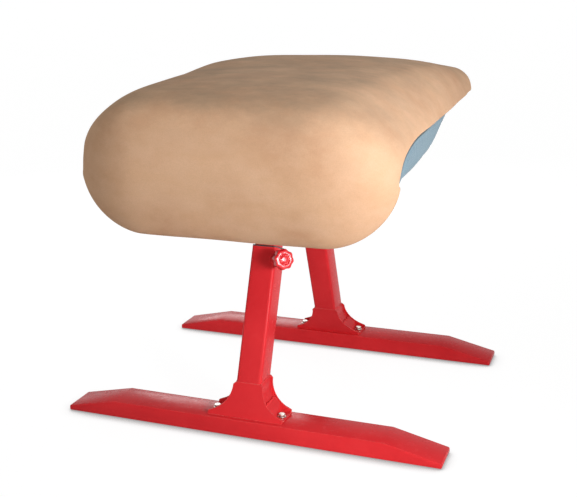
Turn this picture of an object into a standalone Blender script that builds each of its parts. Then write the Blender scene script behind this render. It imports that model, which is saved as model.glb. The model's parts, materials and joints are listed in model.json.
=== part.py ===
"""Vaulting table on two splayed telescopic legs with runner feet.

Units are metres. +X runs along the runners, +Y from the nose of the padded top
to its tail, +Z up. The origin is on the floor, midway between the runners.
The table stands at its lowest setting.
"""

import math

import bmesh
import bpy
import numpy as np
from mathutils import Vector

GAP = 0.0003                    # play left between touching pieces
CLEAR = 0.010                   # how far a cutter runs past what it cuts
LEAST_STEP = 0.005              # a cut-off outline keeps no point nearer to its end than this

# Padded top
TOP_LENGTH = 1.200
TOP_WIDTH = 0.950
TOP_HEIGHT = 1.069              # height of the crown above the floor
PAD = 0.045                     # foam on the top and on the front of the nose
PAD_BACK = 0.020                # foam on the back of the nose
TAIL_DROP = 0.026               # the tail's top lies this far under the crown
TAIL_ROUND = 0.085              # length of the rounding at the tail's top
TAIL_UNDER = 0.015              # the tail's lower edge lies this far in
TAIL_BULGE = 0.0136             # handles that bring the tail out to its full length
CROWN = 0.0465                  # rise of the top's control points over its ends
SIDE_DROP = 0.050               # the top's edges lie this far under its middle
SIDE_DROP_FADE = 0.130          # height over the seam in which that drop fades out
NOSE_TOP_RUN = 0.490            # from the nose's front to where it starts to curve
NOSE_TOP_DROP = 0.014
NOSE_FRONT_DROP = 0.187         # foremost point of the nose, under the crown
NOSE_BOTTOM_DROP = 0.447
NOSE_BOTTOM_RUN = 0.096         # lowest point of the nose, behind its front
NOSE_BOTTOM_SHARE = 0.3         # of the foam's two thicknesses' difference, inside that point
NOSE_DEPTH = 0.133              # front to back of the nose
NOSE_FULL = 0.94                # curve handles as shares of their spans: nose top,
CHIN_FULL = 0.392               # nose front down to its lowest point,
NOSE_BACK_FULL = (0.65, 0.15)   # and from there up its back
NOSE_TOP_SLOPE = 0.034          # slope of the top where the nose starts
TAIL_CORNER = 0.115             # how far the tail's corners are rounded back
TAIL_CORNER_RUN = 0.060         # length of the seam that belongs to the tail's rows
SEAM_DROP = 0.158               # side seam under the crown, at the middle of the top
SEAM_TAIL_DROP = 0.1155         # and at its tail
SEAM_CORNER_Y = 0.346           # where the seam turns down, behind the nose's front
SEAM_LOW = (0.158, 0.238)       # its bend's lower end: behind the front, under the crown
SEAM_FULL = (0.40, 0.25)        # handles of that bend, as shares of its span
ROLL_TAIL = 0.070               # width of the rolled edge at the tail
ROLL_TOP = 0.175
ROLL_FRONT = 0.250
ROLL_BOTTOM = 0.204
ROLL_POWER = 1.836              # 2 is an ellipse, lower is flatter

# Body under the pad
DECK = 0.015                    # wall of the moulded wooden body
CAVITY_DRAFT = 0.002            # how much its hollow widens at the tail towards its mouth
SHELL_PLAY = 0.0008             # between the foam and the wood
SHELL_SIDE_PLAY = 0.0025        # more of it along the sides
PANEL = 0.008                   # underside panel
PANEL_EDGE = 0.005              # its play inside the pad's lower edge
BELLY_DROP = 0.273              # lowest line of the underside, under the crown
BELLY_FLAT = 0.080              # level run behind the nose
BELLY_END_Y = 0.115             # where the underside meets the side seam, behind the middle
BELLY_HANDLES = ((0.44, 0.03), (0.20, 0.70))
BELLY_TAIL = 0.020              # the panel's sides stop this far before the tail's corners
SKIRT_INSET = 0.005             # the padded skirt stands this far inside the pad's side
SKIRT_ROUND = 0.025
SKIRT_END = 0.012               # the skirt stops this far before the underside meets the seam
SKIRT_ROUND_SHARE = 0.6         # most of the skirt's height that the rounding takes
RIB = 0.018
RIB_X = 0.180
RIB_ENDS = (0.004, 0.090)       # from the body's walls at the nose and at the tail
RIB_PLAY = 0.0015               # glue line under the deck
RIB_HOLES = ((0.270, 0.165, 0.045), (0.920, 0.105, 0.016))
BEARER_ROOM = 0.024             # between the bearer and the deck under the crown
LEG_OPENING = 0.003             # play round each inner tube in the underside panel

# Steel head that carries the inner tubes
HEAD_DROP = 0.126               # top face of the head plate, under the crown
HEAD_PLATE = 0.008
HEAD_WIDTH = 0.260
HEAD_MARGIN = 0.043             # length of the plate past the inner tubes
HEAD_BOLT_IN = (0.030, 0.045)   # from the plate's edges to its screws
HEAD_SCREW_COVER = 0.008        # wood left over the coach screws' ends
CHEEK = 0.006
CHEEK_HEIGHT = 0.070
CHEEK_MARGIN = 0.013            # length of the cheeks past the inner tubes, at their top
CHEEK_TAPER = 0.005             # how much shorter they are at each end of their bottom
CHEEK_ROOM = 0.004              # kept above the underside panel

# Legs
LEG_TILT = math.radians(21.0)
LEG_SPREAD = 0.111              # between the legs' axes where they meet the head
TUBE = 0.080
TUBE_WALL = 0.003
TUBE_CORNER = 0.009
TUBE_RIM = 0.505                # top of the outer tube, along the leg from the runner
BUSH_WALL = 0.003               # of the plastic guide between the outer and the inner tube
INNER_WALL = 0.003
INNER_CORNER = 0.007
BUSH_DEPTH = 0.060
BUSH_LIP = 0.004
PLUG_START = 0.038
PLUG_FLANGE = 0.010
PLUG_DEPTH = 0.035
PLUG_PLAY = 0.001               # between its flange and the foot's plates, in all

# Clamp
CLAMP_ALONG = 0.468             # clamp axis, along the leg from the runner
CLAMP_TURN = math.radians(45.0)
SCREW = 0.012
BOSS = 0.026
BOSS_HEIGHT = 0.019             # over the tube's corner
KNOB_GAP = 0.023                # screw thread that shows between boss and knob
KNOB = 0.064
KNOB_LOBES = 8
KNOB_LOBE_DEPTH = 0.0036
KNOB_HUB = 0.008
KNOB_HUB_WIDTH = 0.032
KNOB_THICKNESS = 0.024
KNOB_RIM = 0.004                # height of its rounded rims
KNOB_GRIP = 0.020               # depth of the screw in the knob
POINTS_PER_LOBE = 8

# Feet
RUNNER_LENGTH = 1.200
RUNNER_WIDTH = 0.113
RUNNER_TOP = 0.056
RUNNER_TIP = 0.018
RUNNER_SLOPE = 0.167
RUNNER_WALL = 0.003
RUNNER_SLOPE_SHARES = (0.3, 0.1)    # of the wall, inside the ends of the sloping top
RUNNER_EDGE = 0.004
GRIP = 0.002                    # how far the rubber stands below the runner
GRIP_RECESS = 0.002
GRIP_LENGTH = 0.180
GRIP_INSET = (0.080, 0.014)     # from the runner's ends and sides
FLARE_HEIGHT = 0.100            # where the flared foot meets the tube
FLARE_FOOT = 0.080              # reach of the foot past the tube's side
FLARE_TOP = 0.008               # reach of the flare's edge there, at its upper end
FLARE_RISE = 0.093              # height of the centre of that elliptical edge
FLARE_AXES = (0.100, 0.085)
PLATE = 0.004
STRIP = 0.004
STRIP_SINK = 0.0025             # strips lie this far inside the plates' edges
STRIP_PROUD = 0.004             # upper strip past the tube's side
STRIP_BEND = 0.013              # height over which it comes out there, from the tube's end
STRIP_FOLD = 0.042              # height of the step between the strips
STRIP_START = 0.010             # where the upper strip joins it, under its centre
STRIP_TOE = 0.016               # where the lower strip leaves the flare's edge
PLATE_TOE = (0.0125, 0.0105)    # where the plate's edge leaves it, and its end
TAB = 0.005
FOOT_BOLT = 0.065               # from the tube's side to the foot bolt
BOLT = 0.012
BOLT_HEAD = (1.5 * BOLT, 0.0075)    # across flats, height
BOLT_CHAMFER = (0.9, 0.0012)    # share of the width left on its face, height
BOLT_POINT = 0.001
BOLT_PAST_NUT = 0.002
WASHER = (2 * BOLT, 0.0025)
NUT = (1.5 * BOLT, 0.010)       # across flats, height
ACCESS_HOLE = 2.5 * BOLT

COLOURS = {
    "suede": ((0.66, 0.42, 0.26), 0.85, 0.0),
    "blue_vinyl": ((0.28, 0.40, 0.50), 0.55, 0.0),
    "red_paint": ((0.68, 0.02, 0.03), 0.30, 0.0),
    "zinc": ((0.62, 0.62, 0.60), 0.35, 1.0),
    "plywood": ((0.62, 0.46, 0.28), 0.70, 0.0),
    "rubber": ((0.03, 0.03, 0.03), 0.85, 0.0),
    "black_plastic": ((0.04, 0.04, 0.04), 0.50, 0.0),
    "red_plastic": ((0.80, 0.03, 0.04), 0.25, 0.0),
}

FRONT = -TOP_LENGTH / 2
BACK = TOP_LENGTH / 2
HALF = TOP_WIDTH / 2
SEAM_SLOPE = (SEAM_DROP - SEAM_TAIL_DROP) / BACK
HEAD_Z = TOP_HEIGHT - HEAD_DROP
BEARER_TOP = TOP_HEIGHT - PAD - DECK - BEARER_ROOM
HEAD_SCREW_END = BEARER_TOP - HEAD_SCREW_COVER
SLOPE = math.tan(LEG_TILT)
RUNNER_SPACING = LEG_SPREAD + 2 * SLOPE * (HEAD_Z - RUNNER_TOP)
INNER_TUBE = TUBE - 2 * TUBE_WALL - 2 * BUSH_WALL
TUBES_END = LEG_SPREAD / 2 + (INNER_TUBE / 2) / math.cos(LEG_TILT)
HEAD_SIZE = (HEAD_WIDTH, 2 * (TUBES_END + HEAD_MARGIN))
CORNER_REACH = (TUBE / 2 - TUBE_CORNER) * math.sqrt(2) + TUBE_CORNER
BOSS_END = CORNER_REACH + BOSS_HEIGHT
KNOB_START = BOSS_END + KNOB_GAP
GRIP_SIZE = (GRIP_LENGTH, RUNNER_WIDTH - 2 * GRIP_INSET[1])
GRIP_X = RUNNER_LENGTH / 2 - GRIP_INSET[0] - GRIP_LENGTH / 2
FLARE_FOOT_X = TUBE / 2 + FLARE_FOOT
FLARE_CENTRE = (TUBE / 2 + FLARE_TOP + FLARE_AXES[0], FLARE_RISE)
FOOT_BOLT_X = TUBE / 2 + FOOT_BOLT


# Scene and meshes

def clear_scene():
    for obj in list(bpy.data.objects):
        bpy.data.objects.remove(obj, do_unlink=True)


def material(name):
    found = bpy.data.materials.get(name)
    if found:
        return found
    colour, roughness, metallic = COLOURS[name]
    made = bpy.data.materials.new(name)
    made.use_nodes = True
    shader = made.node_tree.nodes["Principled BSDF"]
    shader.inputs["Base Color"].default_value = (*colour, 1.0)
    shader.inputs["Roughness"].default_value = roughness
    shader.inputs["Metallic"].default_value = metallic
    made.diffuse_color = (*colour, 1.0)
    return made


def to_mesh(name, bm, smooth=None):
    bmesh.ops.remove_doubles(bm, verts=bm.verts, dist=1e-6)
    bmesh.ops.recalc_face_normals(bm, faces=bm.faces)
    mesh = bpy.data.meshes.new(name)
    bm.to_mesh(mesh)
    bm.free()
    if smooth is not None:
        mesh.shade_smooth()
        mesh.set_sharp_from_angle(angle=math.radians(smooth))
    return mesh


def add(name, mesh, slot, parent=None):
    obj = bpy.data.objects.new(name, mesh)
    bpy.context.collection.objects.link(obj)
    obj.parent = parent
    if slot and not mesh.materials:
        mesh.materials.append(material(slot))
    return obj


def empty(name, location=(0, 0, 0), rotation=(0, 0, 0), parent=None):
    obj = bpy.data.objects.new(name, None)
    obj.location = location
    obj.rotation_euler = rotation
    obj.parent = parent
    bpy.context.collection.objects.link(obj)
    return obj


def loft(name, rings, smooth=None):
    """Solid through closed rings that all have the same number of points."""
    bm = bmesh.new()
    rows = [[bm.verts.new(point) for point in ring] for ring in rings]
    count = len(rings[0])
    for low, high in zip(rows, rows[1:]):
        for i in range(count):
            j = (i + 1) % count
            bm.faces.new((low[i], low[j], high[j], high[i]))
    bm.faces.new(rows[0])
    bm.faces.new(rows[-1])
    return to_mesh(name, bm, smooth)


def prism(name, outline, low, high, axis="Z", smooth=None):
    """Outline in the plane across the axis, drawn out from low to high."""
    place = {
        "X": lambda u, v, w: (w, u, v),
        "Y": lambda u, v, w: (u, w, v),
        "Z": lambda u, v, w: (u, v, w),
    }[axis]
    rings = [[place(u, v, w) for u, v in outline] for w in (low, high)]
    return loft(name, rings, smooth)


def joined(name, meshes, smooth=None):
    """One mesh that holds several separate solids."""
    bm = bmesh.new()
    for mesh in meshes:
        bm.from_mesh(mesh)
        bpy.data.meshes.remove(mesh)
    return to_mesh(name, bm, smooth)


def cut(obj, mesh, parent=None):
    tool = add(obj.name + "_cutter", mesh, None, parent)
    tool.hide_render = True
    tool.display_type = "WIRE"
    step = obj.modifiers.new("cut", "BOOLEAN")
    step.operation = "DIFFERENCE"
    step.solver = "EXACT"
    step.object = tool


def circle(radius, count=24, centre=(0.0, 0.0), turn=0.0):
    angles = [turn + math.tau * i / count for i in range(count)]
    return [(centre[0] + radius * math.cos(a), centre[1] + radius * math.sin(a)) for a in angles]


def hexagon(flats, centre=(0.0, 0.0)):
    return circle(flats / math.sqrt(3), 6, centre, math.pi / 6)


def rectangle(centre, size, grow=0.0):
    x, y = centre
    wide, deep = size[0] / 2 + grow, size[1] / 2 + grow
    return [(x - wide, y - deep), (x + wide, y - deep), (x + wide, y + deep), (x - wide, y + deep)]


def rounded_square(size, radius, steps=4):
    reach = (size / 2 - radius) * math.sqrt(2)
    points = []
    for corner in range(4):
        middle = (corner + 0.5) * math.pi / 2
        for i in range(steps + 1):
            angle = (corner + i / steps) * math.pi / 2
            points.append((reach * math.cos(middle) + radius * math.cos(angle),
                           reach * math.sin(middle) + radius * math.sin(angle)))
    return points


def hollow(name, outer, inner, low, high, smooth=30):
    """Tube between two outlines. low and high give z from an outline point."""
    bm = bmesh.new()
    loops = []
    for outline, end in ((outer, low), (outer, high), (inner, high), (inner, low)):
        loops.append([bm.verts.new((x, y, end(x, y))) for x, y in outline])
    count = len(outer)
    for k in range(4):
        near, far = loops[k], loops[(k + 1) % 4]
        for i in range(count):
            j = (i + 1) % count
            bm.faces.new((near[i], near[j], far[j], far[i]))
    return to_mesh(name, bm, smooth)


# Padded top: rows run along the profile in Y and Z, columns across it in X

def bezier(points, count):
    p0, p1, p2, p3 = (np.array(p, dtype=float) for p in points)
    t = np.linspace(0.0, 1.0, count)[:, None]
    return (1 - t) ** 3 * p0 + 3 * (1 - t) ** 2 * t * p1 + 3 * (1 - t) * t * t * p2 + t ** 3 * p3


ROWS = (5, 8, 10, 6, 5)         # tail end, top, nose top, nose front, nose back
DECK_ROWS = ROWS[0] + ROWS[1] + 7
ROLL_STEPS = 5


def seam_line(y):
    """Height of the straight part of the side seam, and of the tail's underside."""
    return TOP_HEIGHT - SEAM_DROP + SEAM_SLOPE * y


def profile(inset, inset_back):
    """Middle line of the top, from under the tail round the nose to its back."""
    front, back, top = FRONT + inset, BACK - inset, TOP_HEIGHT - inset
    tail_top = (back - TAIL_ROUND, top - TAIL_DROP)
    under = (back - TAIL_UNDER, seam_line(back - TAIL_UNDER))
    tail = bezier((under, (back + TAIL_BULGE, under[1]),
                   (back + TAIL_BULGE, tail_top[1]), tail_top), ROWS[0])
    bend = (FRONT + NOSE_TOP_RUN, top - NOSE_TOP_DROP)
    third = (tail_top[0] - bend[0]) / 3
    upper = bezier((tail_top, (tail_top[0] - third, tail_top[1] + CROWN),
                    (bend[0] + third, bend[1] + NOSE_TOP_SLOPE * third), bend), ROWS[1] + 1)[1:]
    foremost = (front, TOP_HEIGHT - NOSE_FRONT_DROP)
    reach, fall = bend[0] - front, bend[1] - foremost[1]
    nose_top = bezier((bend, (bend[0] - NOSE_FULL * reach, bend[1] - NOSE_TOP_SLOPE * reach),
                       (front, foremost[1] + NOSE_FULL * fall), foremost), ROWS[2] + 1)[1:]
    lowest = (FRONT + NOSE_BOTTOM_RUN - NOSE_BOTTOM_SHARE * (inset - inset_back),
              TOP_HEIGHT - NOSE_BOTTOM_DROP + inset)
    reach, fall = lowest[0] - front, foremost[1] - lowest[1]
    nose_front = bezier((foremost, (front, foremost[1] - CHIN_FULL * fall),
                         (lowest[0] - CHIN_FULL * reach, lowest[1]), lowest), ROWS[3] + 1)[1:]
    end = (FRONT + NOSE_DEPTH - inset_back, TOP_HEIGHT - BELLY_DROP + PANEL)
    reach, rise = end[0] - lowest[0], end[1] - lowest[1]
    nose_back = bezier((lowest, (lowest[0] + NOSE_BACK_FULL[0] * reach, lowest[1]),
                        (end[0], lowest[1] + NOSE_BACK_FULL[1] * rise), end), ROWS[4] + 1)[1:]
    return np.vstack([tail, upper, nose_top, nose_front, nose_back])


def seam(inset, inset_back):
    """Lower edge of the pad's side, with one point for each point of the profile."""
    tail = BACK - TAIL_CORNER - inset
    turn = tail - TAIL_CORNER_RUN
    middle = np.array((FRONT + SEAM_CORNER_Y, seam_line(FRONT + SEAM_CORNER_Y)))
    low = np.array((FRONT + SEAM_LOW[0], TOP_HEIGHT - SEAM_LOW[1]))
    end = np.array((FRONT + NOSE_DEPTH - inset_back, TOP_HEIGHT - BELLY_DROP + PANEL))
    ys = np.concatenate([np.linspace(tail, turn, ROWS[0]),
                         np.linspace(turn, middle[0], ROWS[1] + 1)[1:]])
    straight = np.column_stack([ys, seam_line(ys)])
    down = np.array((FRONT + NOSE_DEPTH, end[1])) - low
    down = down / np.linalg.norm(down)
    near, far = (share * np.linalg.norm(middle - low) for share in SEAM_FULL)
    level = middle - (near, SEAM_SLOPE * near)
    bend = bezier((middle, level, low - far * down, low), ROWS[2] + 1)[1:]
    nose_side = np.linspace(low, end, 4)[1:]
    nose_back = np.tile(end, (ROWS[3] + ROWS[4] - 3, 1))
    return np.vstack([straight, bend, nose_side, nose_back])


def roll_widths(inset):
    parts = [np.full(ROWS[0], ROLL_TAIL),
             np.linspace(ROLL_TAIL, ROLL_TOP, ROWS[1] + 1)[1:],
             np.linspace(ROLL_TOP, ROLL_FRONT, ROWS[2] + 1)[1:],
             np.linspace(ROLL_FRONT, ROLL_BOTTOM, ROWS[3] + 1)[1:],
             np.full(ROWS[4], ROLL_BOTTOM)]
    return np.concatenate(parts) - inset


def top_surface(inset, inset_back, side_play=0.0):
    """Rows of points across the top. An inset of 0 gives the cover's outside."""
    middle = profile(inset, inset_back)
    edge = seam(inset, inset_back)
    half = HALF - inset - side_play
    power = 2.0 / ROLL_POWER
    rows = []
    for point, side, roll in zip(middle, edge, roll_widths(inset + side_play)):
        flat = half - roll
        row = [(x, *point) for x in (0.0, 0.5 * flat, flat)]
        for i in range(1, ROLL_STEPS + 1):
            angle = math.pi / 2 * i / ROLL_STEPS
            across, down = math.sin(angle) ** power, max(math.cos(angle), 0.0) ** power
            if i == ROLL_STEPS:
                across, down = 1.0, 0.0
            row.append((flat + roll * across, *(point + (side - point) * (1 - down))))
        rows.append(row)
    rows = np.array(rows)
    upper = np.clip((rows[:, :, 2] - seam_line(rows[:, :, 1])) / SIDE_DROP_FADE, 0.0, 1.0)
    rows[:, :, 2] -= SIDE_DROP * (rows[:, :, 0] / HALF) ** 3 * upper
    mirrored = rows[:, :0:-1] * (-1, 1, 1)
    return np.concatenate([mirrored, rows], axis=1)


def skin(bm, rows):
    """Triangles over a grid of points, split alike on its left and right."""
    middle = len(rows[0]) // 2
    for a, b in zip(rows, rows[1:]):
        for i in range(len(a) - 1):
            if i < middle:
                bm.faces.new((a[i], a[i + 1], b[i]))
                bm.faces.new((a[i + 1], b[i + 1], b[i]))
            else:
                bm.faces.new((a[i], a[i + 1], b[i + 1]))
                bm.faces.new((a[i], b[i + 1], b[i]))


def skin_solid(name, grid, smooth=None):
    """Solid whose rows run round it and whose first and last columns are flat ends."""
    bm = bmesh.new()
    rows = [[bm.verts.new(point) for point in row] for row in grid]
    skin(bm, rows + rows[:1])
    bm.faces.new([row[0] for row in rows])
    bm.faces.new([row[-1] for row in rows])
    return to_mesh(name, bm, smooth)


def top_pad():
    """Foam and cover over the top and round the nose, open below."""
    bm = bmesh.new()
    surfaces = (top_surface(0.0, 0.0), top_surface(PAD, PAD_BACK))
    outer, inner = ([[bm.verts.new(p) for p in row] for row in surface] for surface in surfaces)
    skin(bm, outer)
    skin(bm, inner)
    for c in (0, -1):
        for a, b, d, e in zip(outer, outer[1:], inner[1:], inner):
            bm.faces.new((a[c], b[c], d[c], e[c]))
    for r in (0, -1):
        for i in range(len(outer[r]) - 1):
            bm.faces.new((outer[r][i], outer[r][i + 1], inner[r][i + 1], inner[r][i]))
    return add("top_pad", to_mesh("top_pad", bm, 50), "suede")


# Underside

def underside(tail=BACK - PAD - TAIL_CORNER - BELLY_TAIL, count=10):
    """Visible line under the top, from the back of the nose to the tail."""
    low = TOP_HEIGHT - BELLY_DROP
    start = (FRONT + NOSE_DEPTH + GAP, low)
    flat = (start[0] + BELLY_FLAT, low)
    join = BELLY_END_Y
    end = (join, seam_line(join))
    run, rise = end[0] - flat[0], end[1] - low
    near, far = BELLY_HANDLES
    arc = bezier((flat, (flat[0] + near[0] * run, low + near[1] * rise),
                  (end[0] - far[0] * run, end[1] - far[1] * rise), end), count)
    return [start] + [tuple(p) for p in arc] + [(tail, seam_line(tail))]


def height_on(path, y):
    ys, zs = zip(*path)
    return float(np.interp(y, ys, zs))


def body_shell():
    """Moulded wooden body inside the pad, open below."""
    grid = top_surface(PAD + SHELL_PLAY, PAD_BACK + SHELL_PLAY, SHELL_SIDE_PLAY).tolist()
    path = underside()
    across = [p[0] for p in grid[-1]]
    grid += [[(x, y, z - PANEL / 2) for x in across] for y, z in path[1:]]
    shell = add("body_shell", skin_solid("body_shell", grid, 50), "plywood")
    below = TOP_HEIGHT - BELLY_DROP - CLEAR
    start = FRONT + NOSE_DEPTH - PAD_BACK - SHELL_PLAY / 2
    top = [(start, path[0][1])] + path[1:] + [(BACK, seam_line(BACK))]
    outline = [(y, z + PANEL + GAP) for y, z in top] + [(BACK, below), (start, below)]
    cut(shell, prism("underside", outline, -HALF, HALF, "X"))
    mouth = FRONT + NOSE_DEPTH + DECK
    inner = top_surface(PAD + DECK, PAD_BACK + DECK)[:DECK_ROWS]
    grid = [[(x, max(y, mouth), z) for x, y, z in row] for row in inner]
    grid.append([(x, mouth, below - CLEAR) for x, y, z in grid[-1]])
    grid.append([(x, y + CAVITY_DRAFT, below - CLEAR) for x, y, z in grid[0]])
    cut(shell, skin_solid("cavity", grid))


def underside_panel():
    """Sheet across the open underside, with its tail end curved like the pad's rim."""
    edge = top_surface(PAD + PANEL_EDGE, PAD_BACK)[0]
    grid = [[(x, *point) for x, y, z in edge] for point in underside()]
    grid.append([(x, y, seam_line(y)) for x, y, z in edge])
    grid += [[(x, y, z + PANEL) for x, y, z in row] for row in reversed(grid)]
    return add("underside_panel", skin_solid("underside_panel", grid, 20), "blue_vinyl")


def side_skirt(name, side):
    """Padded vinyl under the side seam, with its lower outer edge rounded over."""
    end = BELLY_END_Y - SKIRT_END
    edge = [tuple(p) for p in seam(0.0, 0.0)[:sum(ROWS[:3]) + 3]]
    top = [(end, height_on(edge[::-1], end))] + [p for p in edge if p[0] < end - LEAST_STEP]
    top = [(y + GAP, z - GAP) for y, z in top]
    path = [(y + GAP, z) for y, z in underside()]
    bottom = [p for p in path if p[0] < end - LEAST_STEP] + [(end + GAP, height_on(path, end + GAP))]
    inner, outer = HALF - PAD + GAP, HALF - SKIRT_INSET
    rings = []
    sections = [(inner, 0.0)]
    for angle in (math.radians(a) for a in (0, 30, 60, 90)):
        sections.append((outer - SKIRT_ROUND * (1 - math.sin(angle)), 1 - math.cos(angle)))
    for x, lift in sections:
        ring = list(top)
        for y, z in bottom:
            room = height_on(top[::-1], y) - z
            ring.append((y, z + min(lift * SKIRT_ROUND, SKIRT_ROUND_SHARE * room)))
        rings.append([(side * x, y, z) for y, z in ring])
    add(name, loft(name, rings, 30), "blue_vinyl")


def rib(name, x):
    """Plywood web between the deck and the underside panel."""
    mouth = FRONT + NOSE_DEPTH + DECK
    front = mouth + RIB_ENDS[0]
    tail = BACK - PAD - DECK - RIB_ENDS[1]
    deck = []
    for row in top_surface(PAD + DECK, PAD_BACK + DECK)[ROWS[0] - 1:DECK_ROWS]:
        y, z = (np.interp(abs(x) + RIB / 2, row[:, 0], row[:, i]) for i in (1, 2))
        deck.append((max(y, mouth), z - RIB_PLAY))
    path = [(y, z + PANEL + GAP) for y, z in underside(tail + CLEAR)]
    deck = [p for p in deck if p[0] > mouth] + [next(p for p in deck if p[0] == mouth)]
    upper = [p for p in deck if front + LEAST_STEP < p[0] < tail - LEAST_STEP]
    upper = [(tail, height_on(deck[::-1], tail))] + upper + [(front, height_on(deck[::-1], front))]
    lower = [p for p in path if front + LEAST_STEP < p[0] < tail - LEAST_STEP]
    lower = [(front, height_on(path, front))] + lower + [(tail, height_on(path, tail))]
    web = add(name, prism(name, upper + lower, x - RIB / 2, x + RIB / 2, "X"), "plywood")
    holes = []
    for behind, under, radius in RIB_HOLES:
        hole = circle(radius, 20, (FRONT + behind, TOP_HEIGHT - under))
        holes.append(prism("hole", hole, x - RIB, x + RIB, "X"))
    cut(web, joined("holes", holes))


def head_spots():
    x, y = (size / 2 - inwards for size, inwards in zip(HEAD_SIZE, HEAD_BOLT_IN))
    return [(-x, -y), (-x, y), (x, -y), (x, y)]


def bolt_holes(spots, low, high):
    holes = [prism("hole", circle(BOLT / 2 + GAP, 16, spot), low, high) for spot in spots]
    return joined("holes", holes)


def bearer():
    """Hardwood block between the ribs that the steel head is bolted to."""
    low, high = HEAD_Z + GAP, BEARER_TOP
    box = rectangle((0, 0), (2 * RIB_X - RIB - 2 * GAP, HEAD_SIZE[1]))
    block = add("head_bearer", prism("head_bearer", box, low, high), "plywood")
    cut(block, bolt_holes(head_spots(), low - CLEAR, HEAD_SCREW_END + GAP))


# Steel head

def head():
    low, high = HEAD_Z - HEAD_PLATE, HEAD_Z
    plate = add("head_plate", prism("head_plate", rectangle((0, 0), HEAD_SIZE), low, high), "red_paint")
    cut(plate, bolt_holes(head_spots(), low - CLEAR, high + CLEAR))
    near = INNER_TUBE / 2 + GAP
    top = TUBES_END + CHEEK_MARGIN
    bottom = top - CHEEK_TAPER
    path = underside()
    lows = [max(low - CHEEK_HEIGHT, height_on(path, y) + PANEL + CHEEK_ROOM) for y in (bottom, -bottom)]
    shape = [(-top, low - GAP), (top, low - GAP), (bottom, lows[0]), (-bottom, lows[1])]
    add("head_cheek_right", prism("head_cheek_right", shape, near, near + CHEEK, "X"), "red_paint")
    add("head_cheek_left", prism("head_cheek_left", shape, -near - CHEEK, -near, "X"), "red_paint")
    for i, spot in enumerate(head_spots(), 1):
        name = f"head_screw_{i}"
        add(name, bolt(name, spot, low - GAP, HEAD_SCREW_END, up=True, flange=True), "zinc")


# Fasteners

def washer(name, spot, low, high):
    outer, inner = circle(WASHER[0] / 2, 20, spot), circle(BOLT / 2 + GAP, 20, spot)
    return hollow(name, outer, inner, lambda x, y: low, lambda x, y: high)


def nut(name, spot, low):
    corners = hexagon(NUT[0], spot)
    outline = []
    for a, b in zip(corners, corners[1:] + corners[:1]):
        outline += [a, ((a[0] + b[0]) / 2, (a[1] + b[1]) / 2)]
    inner = circle(BOLT / 2 + GAP, 12, spot, math.pi / 6)
    return hollow(name, outline, inner, lambda x, y: low, lambda x, y: low + NUT[1])


def bolt(name, spot, seat, end, up, flange=False):
    """Hex bolt whose head bears on seat and whose shank runs to end."""
    way = 1 if up else -1
    corners = hexagon(BOLT_HEAD[0], spot)
    outline = []
    for a, b in zip(corners, corners[1:] + corners[:1]):
        outline += [a, ((a[0] + b[0]) / 2, (a[1] + b[1]) / 2)]
    centre = Vector(spot)
    top = [centre + (Vector(p) - centre) * BOLT_CHAMFER[0] for p in outline]
    base = seat - way * WASHER[1] if flange else seat
    crown = base - way * BOLT_HEAD[1]
    rings = [[(*p, crown) for p in top], [(*p, crown + way * BOLT_CHAMFER[1]) for p in outline],
             [(*p, base) for p in outline]]
    if flange:
        disc = circle(WASHER[0] / 2, 12, spot, math.pi / 6)
        rings += [[(*p, base) for p in disc], [(*p, seat) for p in disc]]
    shank = ((BOLT / 2, seat), (BOLT / 2, end - way * BOLT_POINT), (BOLT / 2 - BOLT_POINT, end))
    rings += [[(*p, z) for p in circle(r, 12, spot, math.pi / 6)] for r, z in shank]
    return loft(name, rings, 30)


# Leg tubes, in the leg's own frame: +Z up along the tube from the runner's top

def level(height):
    """z in the leg's frame of a horizontal cut at this height above the runner."""
    return lambda x, y: (height + y * math.sin(LEG_TILT)) / math.cos(LEG_TILT)


def rod(radius, low, high, count=24):
    return prism("rod", circle(radius, count), low, high)


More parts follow.
